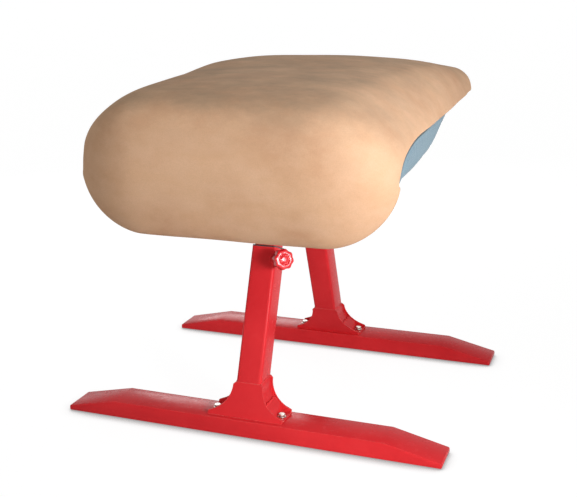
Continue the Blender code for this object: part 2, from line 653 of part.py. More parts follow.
def leg(end, side, panel):
    axis = empty(end + "_leg_axis", (0, -RUNNER_SPACING / 2, RUNNER_TOP), (-LEG_TILT, 0, 0), side)
    clamp = empty(end + "_clamp_axis", (0, 0, CLAMP_ALONG), (0, math.pi / 2, -CLAMP_TURN), axis)
    inside = INNER_TUBE / 2
    screw_hole = SCREW / 2 + GAP
    opening = rounded_square(INNER_TUBE + 2 * LEG_OPENING, INNER_CORNER + LEG_OPENING)
    head_along = (HEAD_Z - RUNNER_TOP) / math.cos(LEG_TILT)
    cut(panel, prism("opening", opening, TUBE_RIM + BUSH_DEPTH, head_along), axis)
    bore = TUBE - 2 * TUBE_WALL
    bore_corner = TUBE_CORNER - TUBE_WALL
    tube = hollow(end + "_outer_tube", rounded_square(TUBE, TUBE_CORNER),
                  rounded_square(bore, bore_corner), level(FLARE_HEIGHT), lambda x, y: TUBE_RIM)
    tube = add(end + "_outer_tube", tube, "red_paint", axis)
    cut(tube, rod(screw_hole, inside, BOSS_END), clamp)

    hole = INNER_TUBE + 2 * GAP
    sleeve = bore - 2 * GAP
    outlines = [(sleeve, bore_corner, TUBE_RIM - BUSH_DEPTH), (sleeve, bore_corner, TUBE_RIM + GAP),
                (TUBE, TUBE_CORNER, TUBE_RIM + GAP), (TUBE, TUBE_CORNER, TUBE_RIM + BUSH_LIP)]
    bush = stepped_sleeve(end + "_guide_bush", outlines, rounded_square(hole, INNER_CORNER + GAP))
    bush = add(end + "_guide_bush", bush, "black_plastic", axis)
    cut(bush, rod(screw_hole, inside, BOSS_END), clamp)

    boss = add(end + "_clamp_boss", rod(BOSS / 2, TUBE / 2, BOSS_END), "red_paint", clamp)
    saddle = rounded_square(TUBE + 2 * GAP, TUBE_CORNER + GAP)
    cut(boss, prism("saddle", saddle, CLAMP_ALONG - BOSS, CLAMP_ALONG + BOSS), axis)
    cut(boss, rod(screw_hole, inside, BOSS_END + CLEAR), clamp)

    tip = (INNER_TUBE / 2 - INNER_CORNER) * math.sqrt(2) + INNER_CORNER + GAP
    screw_end = KNOB_START + KNOB_GRIP
    add(end + "_clamp_screw", rod(SCREW / 2, tip, screw_end, 20), "zinc", clamp)
    knob = add(end + "_star_knob", star_knob(end + "_star_knob"), "red_plastic", clamp)
    cut(knob, rod(screw_hole, KNOB_START - CLEAR, screw_end + GAP, 20), clamp)

    # The inner tube belongs to the table and ends at the steel head
    top = HEAD_Z - HEAD_PLATE - GAP - RUNNER_TOP
    wall = INNER_TUBE - 2 * INNER_WALL
    inner = hollow(end + "_inner_tube", rounded_square(INNER_TUBE, INNER_CORNER),
                   rounded_square(wall, INNER_CORNER - INNER_WALL),
                   lambda x, y: PLUG_START + PLUG_FLANGE + GAP, level(top))
    add(end + "_inner_tube", inner, "red_paint", axis)
    flange = TUBE - 2 * PLATE - PLUG_PLAY
    plug = [(flange, bore_corner, PLUG_START), (flange, bore_corner, PLUG_START + PLUG_FLANGE),
            (wall - 2 * GAP, INNER_CORNER - INNER_WALL, PLUG_START + PLUG_FLANGE),
            (wall - 2 * GAP, INNER_CORNER - INNER_WALL, PLUG_START + PLUG_DEPTH)]
    rings = [[(x, y, z) for x, y in rounded_square(size, corner)] for size, corner, z in plug]
    add(end + "_end_plug", loft(end + "_end_plug", rings, 30), "black_plastic", axis)


def stepped_sleeve(name, sections, hole):
    bm = bmesh.new()
    rings = [[(x, y, z) for x, y in rounded_square(size, corner)] for size, corner, z in sections]
    rings.append([(x, y, sections[-1][2]) for x, y in hole])
    rings.append([(x, y, sections[0][2]) for x, y in hole])
    loops = [[bm.verts.new(p) for p in ring] for ring in rings]
    count = len(loops[0])
    for k in range(len(loops)):
        near, far = loops[k], loops[(k + 1) % len(loops)]
        for i in range(count):
            j = (i + 1) % count
            bm.faces.new((near[i], near[j], far[j], far[i]))
    return to_mesh(name, bm, 30)


def star_knob(name):
    """Hub and lobed head with rounded rims, along the clamp's axis."""
    count = KNOB_LOBES * POINTS_PER_LOBE
    hub = KNOB_HUB_WIDTH / KNOB
    low = KNOB_START + KNOB_HUB
    high = low + KNOB_THICKNESS
    # Share of the knob's width, share of the lobes' depth, and place along the axis
    sections = [(hub, 0.0, KNOB_START), (hub, 0.0, low), (0.93, 1.0, low), (1.0, 1.0, low + KNOB_RIM),
                (1.0, 1.0, high - 2 * KNOB_RIM), (0.95, 1.0, high - KNOB_RIM),
                (0.80, 0.6, high - 0.3 * KNOB_RIM), (0.45, 0.0, high)]
    rings = []
    for size, lobes, z in sections:
        ring = []
        for i in range(count):
            angle = math.tau * i / count
            depth = lobes * KNOB_LOBE_DEPTH * (1 - math.cos(KNOB_LOBES * angle)) / 2
            radius = size * (KNOB / 2 - depth)
            ring.append((radius * math.cos(angle), radius * math.sin(angle), z))
        rings.append(ring)
    return loft(name, rings, 30)


# Feet, in world places of the leg at the nose

def foot_point(x, height, across):
    """Point of the flared foot. across is measured level, from the leg's middle."""
    return (x, -RUNNER_SPACING / 2 + height * SLOPE + across, RUNNER_TOP + height)


def flare_edge(low, high, count, sink=0.0):
    """Points on the flare's edge between two heights, from the top down."""
    points = []
    for height in np.linspace(high, low, count):
        rise = (FLARE_CENTRE[1] - height) / (FLARE_AXES[1] + sink)
        x = FLARE_CENTRE[0] - (FLARE_AXES[0] + sink) * math.sqrt(max(0.0, 1 - min(rise, 1.0) ** 2))
        points.append((x, height))
    return points


def sheared(name, outline, low, high):
    return loft(name, [[foot_point(x, h, w) for x, h in outline] for w in (low, high)], 20)


def foot_plate(name, low, high, side):
    edge = flare_edge(PLATE_TOE[0], FLARE_CENTRE[1], 12)
    right = [(TUBE / 2, FLARE_HEIGHT - GAP)] + edge + [(FLARE_FOOT_X, PLATE_TOE[1]), (FLARE_FOOT_X, GAP)]
    outline = right + [(-x, h) for x, h in reversed(right)]
    add(name, sheared(name, outline, low, high), "red_paint", side)


def beneath(face):
    """Points one strip's thickness behind the given face."""
    inner = []
    for i, (x, h) in enumerate(face):
        a, b = face[max(i - 1, 0)], face[min(i + 1, len(face) - 1)]
        run = Vector((b[0] - a[0], b[1] - a[1])).normalized()
        inner.append((x + run.y * STRIP, h - run.x * STRIP))
    return inner


def strip(name, outline, side, mirror):
    """Bent strip between the foot's plates."""
    half = (TUBE / 2 - PLATE) / math.cos(LEG_TILT) - GAP
    outline = [(mirror * x, h) for x, h in outline]
    return add(name, sheared(name, outline, -half, half), "red_paint", side)


def upper_strip(name, face, side, mirror):
    """Strip from the tube's end down to the fold."""
    return strip(name, face + beneath(face)[::-1], side, mirror)


def lower_strip(name, face, side, mirror):
    """Strip from the fold down to a flat tab under the foot bolt."""
    start = FOOT_BOLT_X - WASHER[0] / 2 - BOLT_PAST_NUT
    inner = [p for p in beneath(face) if p[0] < start - 1.5 * STRIP and p[1] > TAB]
    face = [p for p in face if p[0] < start - STRIP / 2] + [(start, TAB), (FLARE_FOOT_X, TAB)]
    inner += [(start - STRIP, GAP), (FLARE_FOOT_X, GAP)]
    return strip(name, face + inner[::-1], side, mirror)


def foot(end, side, flip):
    reach = TUBE / 2 / math.cos(LEG_TILT)
    thick = PLATE / math.cos(LEG_TILT)
    foot_plate(end + "_outer_plate", -reach, -reach + thick, side)
    foot_plate(end + "_inner_plate", reach - thick, reach, side)
    for mirror in (1, -1):
        where = "right" if mirror * flip > 0 else "left"
        proud = TUBE / 2 + STRIP_PROUD
        upper = [(TUBE / 2, FLARE_HEIGHT - GAP), (proud, FLARE_HEIGHT - STRIP_BEND)]
        upper += [(max(x, proud), h) for x, h in
                  flare_edge(STRIP_FOLD + GAP, FLARE_CENTRE[1] - STRIP_START, 6, STRIP_SINK + STRIP)]
        upper_strip(end + "_upper_strip_" + where, upper, side, mirror)
        lower = flare_edge(STRIP_TOE, STRIP_FOLD - GAP, 6, STRIP_SINK)
        strip = lower_strip(end + "_lower_strip_" + where, lower, side, mirror)
        spot = (mirror * FOOT_BOLT_X, -RUNNER_SPACING / 2)
        cut(strip, bolt_holes([spot], RUNNER_TOP - CLEAR, RUNNER_TOP + STRIP_TOE), side)
    hardware(end, side, flip)
    runner(end, side, flip)


def hardware(end, side, flip):
    middle = -RUNNER_SPACING / 2
    for mirror in (1, -1):
        where = "right" if mirror * flip > 0 else "left"
        spot = (mirror * FOOT_BOLT_X, middle)
        seat = RUNNER_TOP + TAB + GAP
        nut_top = RUNNER_TOP - RUNNER_WALL - GAP
        name = f"{end}_foot_washer_{where}"
        add(name, washer(name, spot, seat, seat + WASHER[1]), "zinc", side)
        name = f"{end}_foot_nut_{where}"
        add(name, nut(name, spot, nut_top - NUT[1]), "zinc", side)
        name = f"{end}_foot_bolt_{where}"
        bolt_end = nut_top - NUT[1] - BOLT_PAST_NUT
        add(name, bolt(name, spot, seat + WASHER[1] + GAP, bolt_end, up=False), "zinc", side)


def runner_outline(inset):
    half, flat = RUNNER_LENGTH / 2, RUNNER_LENGTH / 2 - RUNNER_SLOPE
    low, tip, top = GRIP + inset, RUNNER_TIP - inset, RUNNER_TOP - inset
    at_tip, at_top = (share * inset for share in RUNNER_SLOPE_SHARES)
    right = [(half - inset, low), (half - inset, tip - at_tip), (flat - at_top, top)]
    return right + [(-x, z) for x, z in reversed(right)]


def runner(end, side, flip):
    middle = -RUNNER_SPACING / 2
    half = RUNNER_WIDTH / 2
    mesh = prism(end + "_runner", runner_outline(0.0), middle - half, middle + half, "Y")
    box = add(end + "_runner", mesh, "red_paint", side)
    edge = box.modifiers.new("edges", "BEVEL")
    edge.width = RUNNER_EDGE
    edge.segments = 2
    edge.limit_method = "ANGLE"
    edge.angle_limit = math.radians(40)
    inside = half - RUNNER_WALL
    cavity = prism("cavity", runner_outline(RUNNER_WALL), middle - inside, middle + inside, "Y")
    cut(box, cavity, side)
    spots = [(-FOOT_BOLT_X, middle), (FOOT_BOLT_X, middle)]
    cut(box, bolt_holes(spots, RUNNER_TOP - CLEAR, RUNNER_TOP + CLEAR), side)
    rounds = [circle(ACCESS_HOLE / 2, 20, spot) for spot in spots]
    cut(box, joined("access", [prism("access", r, GRIP - CLEAR, GRIP + CLEAR) for r in rounds]), side)
    seats = []
    for mirror in (1, -1):
        where = "right" if mirror * flip > 0 else "left"
        name = f"{end}_grip_pad_{where}"
        spot = (mirror * GRIP_X, middle)
        add(name, prism(name, rectangle(spot, GRIP_SIZE), 0.0, GRIP + GRIP_RECESS - GAP), "rubber", side)
        seats.append(prism("seat", rectangle(spot, GRIP_SIZE, GAP), GRIP - CLEAR, GRIP + GRIP_RECESS))
    cut(box, joined("seats", seats), side)


def main():
    clear_scene()
    top_pad()
    body_shell()
    panel = underside_panel()
    side_skirt("side_skirt_right", 1)
    side_skirt("side_skirt_left", -1)
    rib("rib_right", RIB_X)
    rib("rib_left", -RIB_X)
    bearer()
    head()
    for end, turn in (("front", 0.0), ("rear", math.pi)):
        side = empty(end + "_side", rotation=(0, 0, turn))
        leg(end, side, panel)
        foot(end, side, math.cos(turn))
    bpy.context.view_layer.update()


main()
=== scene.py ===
"""Looks of a padded vaulting table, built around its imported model.

Units are metres. +X runs along the runners, +Y from the nose of the padded top
to its tail, +Z up, and the origin is on the floor.
"""

import json
import math

import bmesh
import bpy
import numpy as np
from mathutils import Matrix, Vector
from mathutils.kdtree import KDTree

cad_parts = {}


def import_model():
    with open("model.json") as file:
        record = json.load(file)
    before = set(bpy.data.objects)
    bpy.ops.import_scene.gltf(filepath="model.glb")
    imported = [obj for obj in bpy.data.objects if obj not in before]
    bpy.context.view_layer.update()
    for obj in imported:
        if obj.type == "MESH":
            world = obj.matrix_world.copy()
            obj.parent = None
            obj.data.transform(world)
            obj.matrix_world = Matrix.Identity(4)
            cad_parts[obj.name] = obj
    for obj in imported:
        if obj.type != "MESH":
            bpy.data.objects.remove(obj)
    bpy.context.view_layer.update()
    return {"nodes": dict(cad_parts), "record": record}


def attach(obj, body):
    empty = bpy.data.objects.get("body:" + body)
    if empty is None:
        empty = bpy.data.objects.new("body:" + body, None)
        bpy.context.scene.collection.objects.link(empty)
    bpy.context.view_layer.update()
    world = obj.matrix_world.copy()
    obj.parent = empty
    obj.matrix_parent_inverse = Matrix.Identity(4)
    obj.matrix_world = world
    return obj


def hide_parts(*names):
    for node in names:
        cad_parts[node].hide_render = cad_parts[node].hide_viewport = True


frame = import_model()
NODES = frame["nodes"]
BODY_OF = {node: body for body, nodes in frame["record"]["behaviour"]["bodies"].items() for node in nodes}
SLOT_OF = {row["node"]: row["material_slot"] for row in frame["record"]["subparts"]}
ENDS = ("front", "rear")
SIDES = ("right", "left")

# Camera of the photograph
PHOTO_WIDTH = 577               # pixels
FOCAL_PIXELS = 979.65
SENSOR_WIDTH = 36.0             # millimetres
CAMERA_PLACE = (1.0830, -2.8916, 1.3280)
YAW, PITCH, ROLL = -0.3636, -0.2716, -0.0139

WELD = 1e-5                     # corners closer than this are one
FLAT = math.radians(0.4)        # faces that turn less than this are one
SHARP = math.radians(32)        # edges that turn more than this are rounded
EDGE, EDGE_STEPS = 0.0007, 2    # rounding of painted and plated edges


# Materials

class Finish:
    """A Principled material that is built up step by step."""

    def __init__(self, name, roughness, metallic=0.0, **sockets):
        self.material = bpy.data.materials.new(name)
        self.material.use_nodes = True
        self.tree = self.material.node_tree
        self.shader = self.tree.nodes["Principled BSDF"]
        self.shader.inputs["Roughness"].default_value = roughness
        self.shader.inputs["Metallic"].default_value = metallic
        for key, value in sockets.items():
            self.shader.inputs[key.replace("_", " ")].default_value = value
        self.place = self.add("ShaderNodeTexCoord").outputs["Object"]
        self.normal = None

    def add(self, kind, settings=None, **inputs):
        node = self.tree.nodes.new(kind)
        for key, value in (settings or {}).items():
            setattr(node, key, value)
        for key, value in inputs.items():
            self.feed(node.inputs[key.replace("_", " ")], value)
        return node

    def feed(self, socket, value):
        if isinstance(value, bpy.types.NodeSocket):
            self.tree.links.new(value, socket)
        else:
            socket.default_value = value

    def noise(self, scale, detail=3.0, rough=0.5, stretch=None):
        place = self.place
        if stretch:
            place = self.add("ShaderNodeMapping", Vector=place, Scale=stretch).outputs[0]
        return self.add("ShaderNodeTexNoise", Vector=place, Scale=scale, Detail=detail, Roughness=rough).outputs[0]

    def cells(self, scale):
        """Distance to the edges of irregular cells."""
        node = self.add("ShaderNodeTexVoronoi", {"feature": "DISTANCE_TO_EDGE"}, Vector=self.place, Scale=scale)
        return node.outputs["Distance"]

    def span(self, value, low, high, to_low=0.0, to_high=1.0):
        """Value stretched from low..high to to_low..to_high, and held there."""
        node = self.add("ShaderNodeMapRange", {"clamp": True}, Value=value, From_Min=low,
                        From_Max=high, To_Min=to_low, To_Max=to_high)
        return node.outputs[0]

    def math(self, operation, a, b=0.0):
        node = self.add("ShaderNodeMath", {"operation": operation})
        self.feed(node.inputs[0], a)
        self.feed(node.inputs[1], b)
        return node.outputs[0]

    def mix(self, factor, a, b):
        """Colour a at a factor of 0, colour b at 1."""
        node = self.add("ShaderNodeMix", {"data_type": "RGBA"})
        self.feed(node.inputs[0], factor)
        self.feed(node.inputs[6], (*a, 1.0) if isinstance(a, tuple) else a)
        self.feed(node.inputs[7], (*b, 1.0) if isinstance(b, tuple) else b)
        return node.outputs[2]

    def along(self, axis):
        """Coordinate of the place along an axis, in metres."""
        return self.add("ShaderNodeSeparateXYZ", Vector=self.place).outputs[axis]

    def facing(self, axis):
        """Part of the surface's direction along an axis."""
        normal = self.add("ShaderNodeNewGeometry").outputs["Normal"]
        return self.add("ShaderNodeSeparateXYZ", Vector=normal).outputs[axis]

    def edges(self, radius):
        """1 on outer and inner edges, 0 on flat faces."""
        rounded = self.add("ShaderNodeBevel", {"samples": 4}, Radius=radius).outputs[0]
        flat = self.add("ShaderNodeNewGeometry").outputs["Normal"]
        node = self.add("ShaderNodeVectorMath", {"operation": "DOT_PRODUCT"})
        self.feed(node.inputs[0], rounded)
        self.feed(node.inputs[1], flat)
        return self.span(node.outputs["Value"], 0.99, 0.90)

    def bump(self, height, depth, strength):
        node = self.add("ShaderNodeBump", Height=height, Distance=depth, Strength=strength)
        if self.normal:
            self.feed(node.inputs["Normal"], self.normal)
        self.normal = node.outputs[0]

    def done(self, colour, roughness=None):
        self.feed(self.shader.inputs["Base Color"], colour)
        if roughness is not None:
            self.feed(self.shader.inputs["Roughness"], roughness)
        if self.normal:
            self.feed(self.shader.inputs["Normal"], self.normal)
        return self.material


def suede():
    look = Finish("suede_cover", 0.95, Sheen_Weight=0.05, Sheen_Roughness=0.5,
                  Sheen_Tint=(1.0, 0.86, 0.72, 1.0), Specular_IOR_Level=0.10)
    dark, light, brushed = (0.630, 0.356, 0.206), (0.730, 0.445, 0.266), (0.780, 0.510, 0.332)
    # The first colour below darkens the top, as soiling and as painted shade.
    dirt_and_shade_colour, pore = (0.410, 0.280, 0.175), (0.40, 0.23, 0.13)
    patches = look.noise(4.5, 4.0, 0.60, (1.0, 1.0, 1.1))
    strokes = look.noise(13.0, 5.0, 0.68, (0.75, 1.1, 1.3))
    grain = look.noise(330.0, 3.0, 0.7)
    colour = look.mix(look.span(patches, 0.36, 0.64), dark, light)
    colour = look.mix(look.span(strokes, 0.38, 0.64, 0.0, 0.38), colour, brushed)
    # Soiling and painted shade: faces that look up, less so the sides, darken towards a brown, partly as dirt and
    # partly for the dimmer light on the top.
    aside = look.span(look.math("ABSOLUTE", look.facing(0)), 0.20, 0.70, 1.0, 0.55)
    on_top = look.math("MULTIPLY", look.span(look.facing(2), -0.05, 0.78), aside)
    rubbed = look.noise(5.5, 7.0, 0.72, (0.8, 1.2, 1.4))
    painted_shade_and_dirt = look.math("MULTIPLY", look.span(rubbed, 0.36, 0.64, 0.26, 0.88), on_top)
    colour = look.mix(painted_shade_and_dirt, colour, dirt_and_shade_colour)
    colour = look.mix(look.span(grain, 0.38, 0.68, 0.0, 0.20), colour, pore)
    look.bump(strokes, 0.0008, 0.4)
    look.bump(grain, 0.0007, 0.7)
    return look.done(colour)


def vinyl():
    look = Finish("blue_vinyl", 0.5, Specular_IOR_Level=0.45)
    dark, light, painted_crease_shade = (0.165, 0.250, 0.295), (0.210, 0.295, 0.335), (0.120, 0.180, 0.230)
    patches = look.noise(5.0, 3.0)
    leather = look.cells(520.0)
    colour = look.mix(look.span(patches, 0.35, 0.65), dark, light)
    # Painted shade: the grain's creases, at the cells' edges, are darkened.
    colour = look.mix(look.span(leather, 0.0, 0.12, 0.30, 0.0), colour, painted_crease_shade)
    look.bump(look.span(leather, 0.0, 0.25), 0.0004, 0.7)
    look.bump(look.noise(30.0), 0.0008, 0.3)
    return look.done(colour, look.span(patches, 0.3, 0.7, 0.42, 0.58))


def paint():
    look = Finish("red_paint", 0.28, Specular_IOR_Level=0.05)
    dark, light = (0.730, 0.026, 0.032), (0.815, 0.036, 0.042)
    dusty, wear_and_highlight, bare = (0.60, 0.10, 0.11), (0.93, 0.34, 0.31), (0.30, 0.28, 0.27)
    clouds = look.noise(6.0, 3.0)
    peel = look.noise(230.0, 2.0, 0.55)
    dust = look.noise(38.0, 5.0, 0.7)
    specks = look.noise(620.0, 2.0, 0.6)
    colour = look.mix(look.span(clouds, 0.3, 0.7), dark, light)
    level = look.span(look.facing(2), 0.55, 0.95)
    settled = look.math("MULTIPLY", look.span(dust, 0.45, 0.80, 0.0, 0.07), level)
    colour = look.mix(settled, colour, dusty)
    # Rubbed edges: worn paint and a painted highlight, a light pink along the edges.
    rubbed = look.math("MULTIPLY", look.edges(0.0022), look.span(dust, 0.30, 0.58))
    colour = look.mix(look.math("MULTIPLY", rubbed, 0.60), colour, wear_and_highlight)
    chip = look.math("MULTIPLY", look.edges(0.0012), look.span(specks, 0.66, 0.70))
    colour = look.mix(chip, colour, bare)
    look.bump(peel, 0.00025, 0.5)
    return look.done(colour, look.span(dust, 0.3, 0.75, 0.17, 0.34))


def plating():
    look = Finish("zinc_plating", 0.3, 1.0)
    bright, dull = (0.70, 0.69, 0.66), (0.56, 0.53, 0.46)
    clouds = look.noise(90.0, 4.0, 0.65)
    turned = look.noise(900.0, 2.0, 0.5, (1.0, 1.0, 0.1))
    colour = look.mix(look.span(clouds, 0.35, 0.7), bright, dull)
    look.bump(turned, 0.00005, 0.5)
    return look.done(colour, look.span(clouds, 0.3, 0.7, 0.25, 0.45))


def moulded(name, dark, light, roughness, texture):
    look = Finish(name, roughness)
    clouds = look.noise(40.0, 3.0)
    grain = look.noise(1100.0, 2.0, 0.6)
    colour = look.mix(look.span(clouds, 0.35, 0.65), dark, light)
    look.bump(grain, 0.00015, texture)
    return look.done(colour, look.span(clouds, 0.3, 0.7, roughness - 0.04, roughness + 0.06))


def plywood():
    look = Finish("plywood", 0.7)
    dark, light, pore = (0.50, 0.34, 0.18), (0.66, 0.48, 0.29), (0.32, 0.20, 0.10)
    grain = look.noise(14.0, 5.0, 0.6, (1.0, 0.08, 1.0))
    pores = look.noise(240.0, 2.0, 0.6, (1.0, 0.05, 1.0))
    colour = look.mix(look.span(grain, 0.35, 0.65), dark, light)
    colour = look.mix(look.span(pores, 0.5, 0.7, 0.0, 0.4), colour, pore)
    look.bump(pores, 0.0002, 0.6)
    return look.done(colour)


def grip_rubber():
    look = Finish("grip_rubber", 0.85)
    black, dusty, rib_spacing = (0.020, 0.020, 0.020), (0.085, 0.080, 0.075), 0.006
    ribs = look.math("SINE", look.math("MULTIPLY", look.along(0), math.tau / rib_spacing))
    dust = look.noise(60.0, 4.0, 0.7)
    colour = look.mix(look.span(dust, 0.4, 0.75), black, dusty)
    look.bump(ribs, 0.0006, 0.8)
    return look.done(colour)


LOOKS = {
    "suede": suede(),
    "blue_vinyl": vinyl(),
    "red_paint": paint(),
    "zinc": plating(),
    "plywood": plywood(),
    "rubber": grip_rubber(),
    "black_plastic": moulded("black_plastic", (0.020, 0.020, 0.021), (0.036, 0.036, 0.037), 0.45, 0.6),
    "red_plastic": moulded("red_plastic", (0.690, 0.012, 0.018), (0.780, 0.022, 0.026), 0.20, 0.15),
}


# Pieces

def placed(name, data):
    made = bpy.data.objects.new(name, data)
    bpy.context.scene.collection.objects.link(made)
    return made


def piece(name, mesh, slot, body):
    made = placed(name, mesh)
    made.data.materials.clear()
    made.data.materials.append(LOOKS[slot])
    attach(made, body)
    return made


def to_mesh(name, bm, sharp=None):
    """The finished mesh, smooth apart from edges that turn by more than sharp."""
    mesh = bpy.data.meshes.new(name)
    bm.to_mesh(mesh)
    bm.free()
    mesh.shade_smooth()
    if sharp:
        mesh.set_sharp_from_angle(angle=sharp)
    return mesh


def bevelled(node):
    """The node again, with rounded edges and smooth round faces."""
    bm = bmesh.new()
    bm.from_mesh(NODES[node].data)
    bmesh.ops.remove_doubles(bm, verts=bm.verts, dist=WELD)
    bmesh.ops.dissolve_limit(bm, angle_limit=FLAT, verts=bm.verts, edges=bm.edges)
    name = node + "_finish"
    made = piece(name, to_mesh(name, bm, SHARP), SLOT_OF[node], BODY_OF[node])
    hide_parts(node)
    rounding = made.modifiers.new("rounding", "BEVEL")
    rounding.width = EDGE
    rounding.segments = EDGE_STEPS
    rounding.limit_method = "ANGLE"
    rounding.angle_limit = SHARP
    rounding.harden_normals = True


# Skins: corners in rows, and what a mesh holds for each of them

def band(bm, near, far, closed=False):
    """Faces between two rows of corners, which may be closed rings."""
    for i in range(len(near) if closed else len(near) - 1):
        j = (i + 1) % len(near)
        bm.faces.new((near[i], near[j], far[j], far[i]))


def skin(bm, rings):
    """Faces over closed rings of corners, with both ends capped."""
    for near, far in zip(rings, rings[1:]):
        band(bm, near, far, closed=True)
    bm.faces.new(rings[0][::-1])
    bm.faces.new(rings[-1])


def numbers(rows, key, width):
    """What a mesh's rows hold under a key, as width numbers for each row."""
    flat = np.empty(len(rows) * width, dtype=np.float32)
    rows.foreach_get(key, flat)
    return flat.reshape(-1, width).astype(float)


def places(mesh):
    return numbers(mesh.vertices, "co", 3)


def directions(mesh):
    return numbers(mesh.vertex_normals, "vector", 3)


def attribute(mesh, name):
    return numbers(mesh.attributes[name].data, "value", 1)[:, 0]


def move_to(mesh, points):
    mesh.vertices.foreach_set("co", points.astype(np.float32).ravel())
    mesh.update()


def subdivide(made):
    step = made.modifiers.new("fine", "SUBSURF")
    step.levels = 1
    step.render_levels = 1


# Padded top: the model's curves again, with closer rows and columns

TOP_HEIGHT = 1.069              # height of the crown above the floor
FRONT, BACK, HALF = -0.600, 0.600, 0.475
PAD, PAD_BACK = 0.045, 0.020    # foam on the top and front, and on the back of the nose
TAIL_DROP = 0.026               # the tail's top lies this far under the crown
TAIL_ROUND = 0.085              # length of the rounding at the tail's top
TAIL_UNDER = 0.015              # the tail's lower edge lies this far in
TAIL_HANDLE = 0.0136            # handles that bring the tail out to its full length
CROWN = 0.0465                  # rise of the top's control points over its ends
SIDE_DROP = 0.050               # the top's edges lie this far under its middle
SIDE_DROP_FADE = 0.130          # height over the seam in which that drop fades out
NOSE_TOP = (0.490, 0.014)       # where the nose starts to curve: behind its front, under the crown
NOSE_TOP_SLOPE = 0.034          # slope of the top there
NOSE_FRONT_DROP = 0.187         # foremost point of the nose, under the crown
NOSE_BOTTOM = (0.096, 0.447)    # lowest point of the nose: behind its front, under the crown
NOSE_BOTTOM_SHARE = 0.3         # of the foam's two thicknesses' difference, inside that point
NOSE_DEPTH = 0.133              # front to back of the nose
NOSE_BACK_DROP = 0.265          # lower edge of its back, under the crown
NOSE_FULL = 0.94                # curve handles as shares of their spans: nose top,
CHIN_FULL = 0.392               # nose front down to its lowest point,
NOSE_BACK_FULL = (0.65, 0.15)   # and from there up its back
TAIL_CORNER = 0.115             # how far the tail's corners are rounded back
TAIL_CORNER_RUN = 0.060         # length of the seam that belongs to the tail's rows
SEAM_DROP = 0.158               # side seam under the crown, at the middle of the top
SEAM_TAIL_DROP = 0.1155         # and at its tail
SEAM_CORNER_Y = FRONT + 0.346   # where the seam turns down
SEAM_LOW = (0.158, 0.238)       # its bend's lower end: behind the front, under the crown
SEAM_FULL = (0.40, 0.25)        # handles of that bend, as shares of its span
ROLLS = (0.070, 0.070, 0.175, 0.250, 0.204, 0.204)      # width of the rolled edge between the spans of rows
ROLL_POWER = 1.836              # 2 is an ellipse, lower is flatter

UNDER_Z = TOP_HEIGHT - NOSE_BACK_DROP
SEAM_Z, SEAM_SLOPE = TOP_HEIGHT - SEAM_DROP, (SEAM_DROP - SEAM_TAIL_DROP) / BACK

FINER = 4                       # rows here for each row of the model
ROWS = (4, 8, 10, 6, 5)         # tail end, top, nose top, nose front, nose back
NOSE_SIDE_ROWS = 3              # of the nose's front, those that end on the steep part of the seam
FLAT_STEPS, ROLL_STEPS = 8, 16  # columns from the middle to the rolled edge, and round that edge
RIM_STEPS = 4                   # steps of the pad's lower rim, from its outside in to the wood

OUTSIDE, FREE = 0.1, 0.6        # depths under these are the pad's outside, and foam that can move
RIM_SOFT, RIM_ROUNDS = 0.011, 12        # reach and rounds of the rounding of the lower rim
TAIL_SOFT, TAIL_ROUNDS = 0.030, 40      # the same at the tail
TAIL_START = (0.42, 0.56)       # where the tail's own shape comes in
TAIL_BULGE = 0.013              # foam that stands proud round the tail
BULGE_RISE, BULGE_REACH = 0.036, 0.034  # how far above the rim, and over what height
LAP, LAP_REACH = 0.010, 0.045   # cover drawn down over the skirts' upper edge
LAP_START = (-0.25, 0.05)       # where that comes in
PAD_SHRINK = 0.0005             # the foam starts this much smaller all round,
CROWN_SHRINK = 0.0020           # this much more on top,
TAIL_SHRINK, TAIL_FALL = 0.0030, (0.05, 0.40)   # and more again on top towards the tail, and where
PAD_PRESSURE = 2.0
PAD_HOLD = 0.3                  # share of its place that the foam holds as it swells
PAD_CAP = 0.006                 # most that a point may move in the simulation
PAD_WAVES = (0.0016, ((0.31, (1, 0.3, 0.2), 0.4), (0.23, (-0.4, 1, 0.3), 2.1),
                      (0.17, (0.6, 0.7, -0.5), 4.0), (0.41, (0.2, -1, 0.8), 1.2)))
CLOTH_STEPS = 20                # frames of the simulation


def bezier(points, rows):
    p0, p1, p2, p3 = (np.array(p, dtype=float) for p in points)
    t = np.linspace(0.0, 1.0, rows * FINER + 1)[:, None]
    return (1 - t) ** 3 * p0 + 3 * (1 - t) ** 2 * t * p1 + 3 * (1 - t) * t * t * p2 + t ** 3 * p3


def seam_z(y):
    return SEAM_Z + SEAM_SLOPE * y


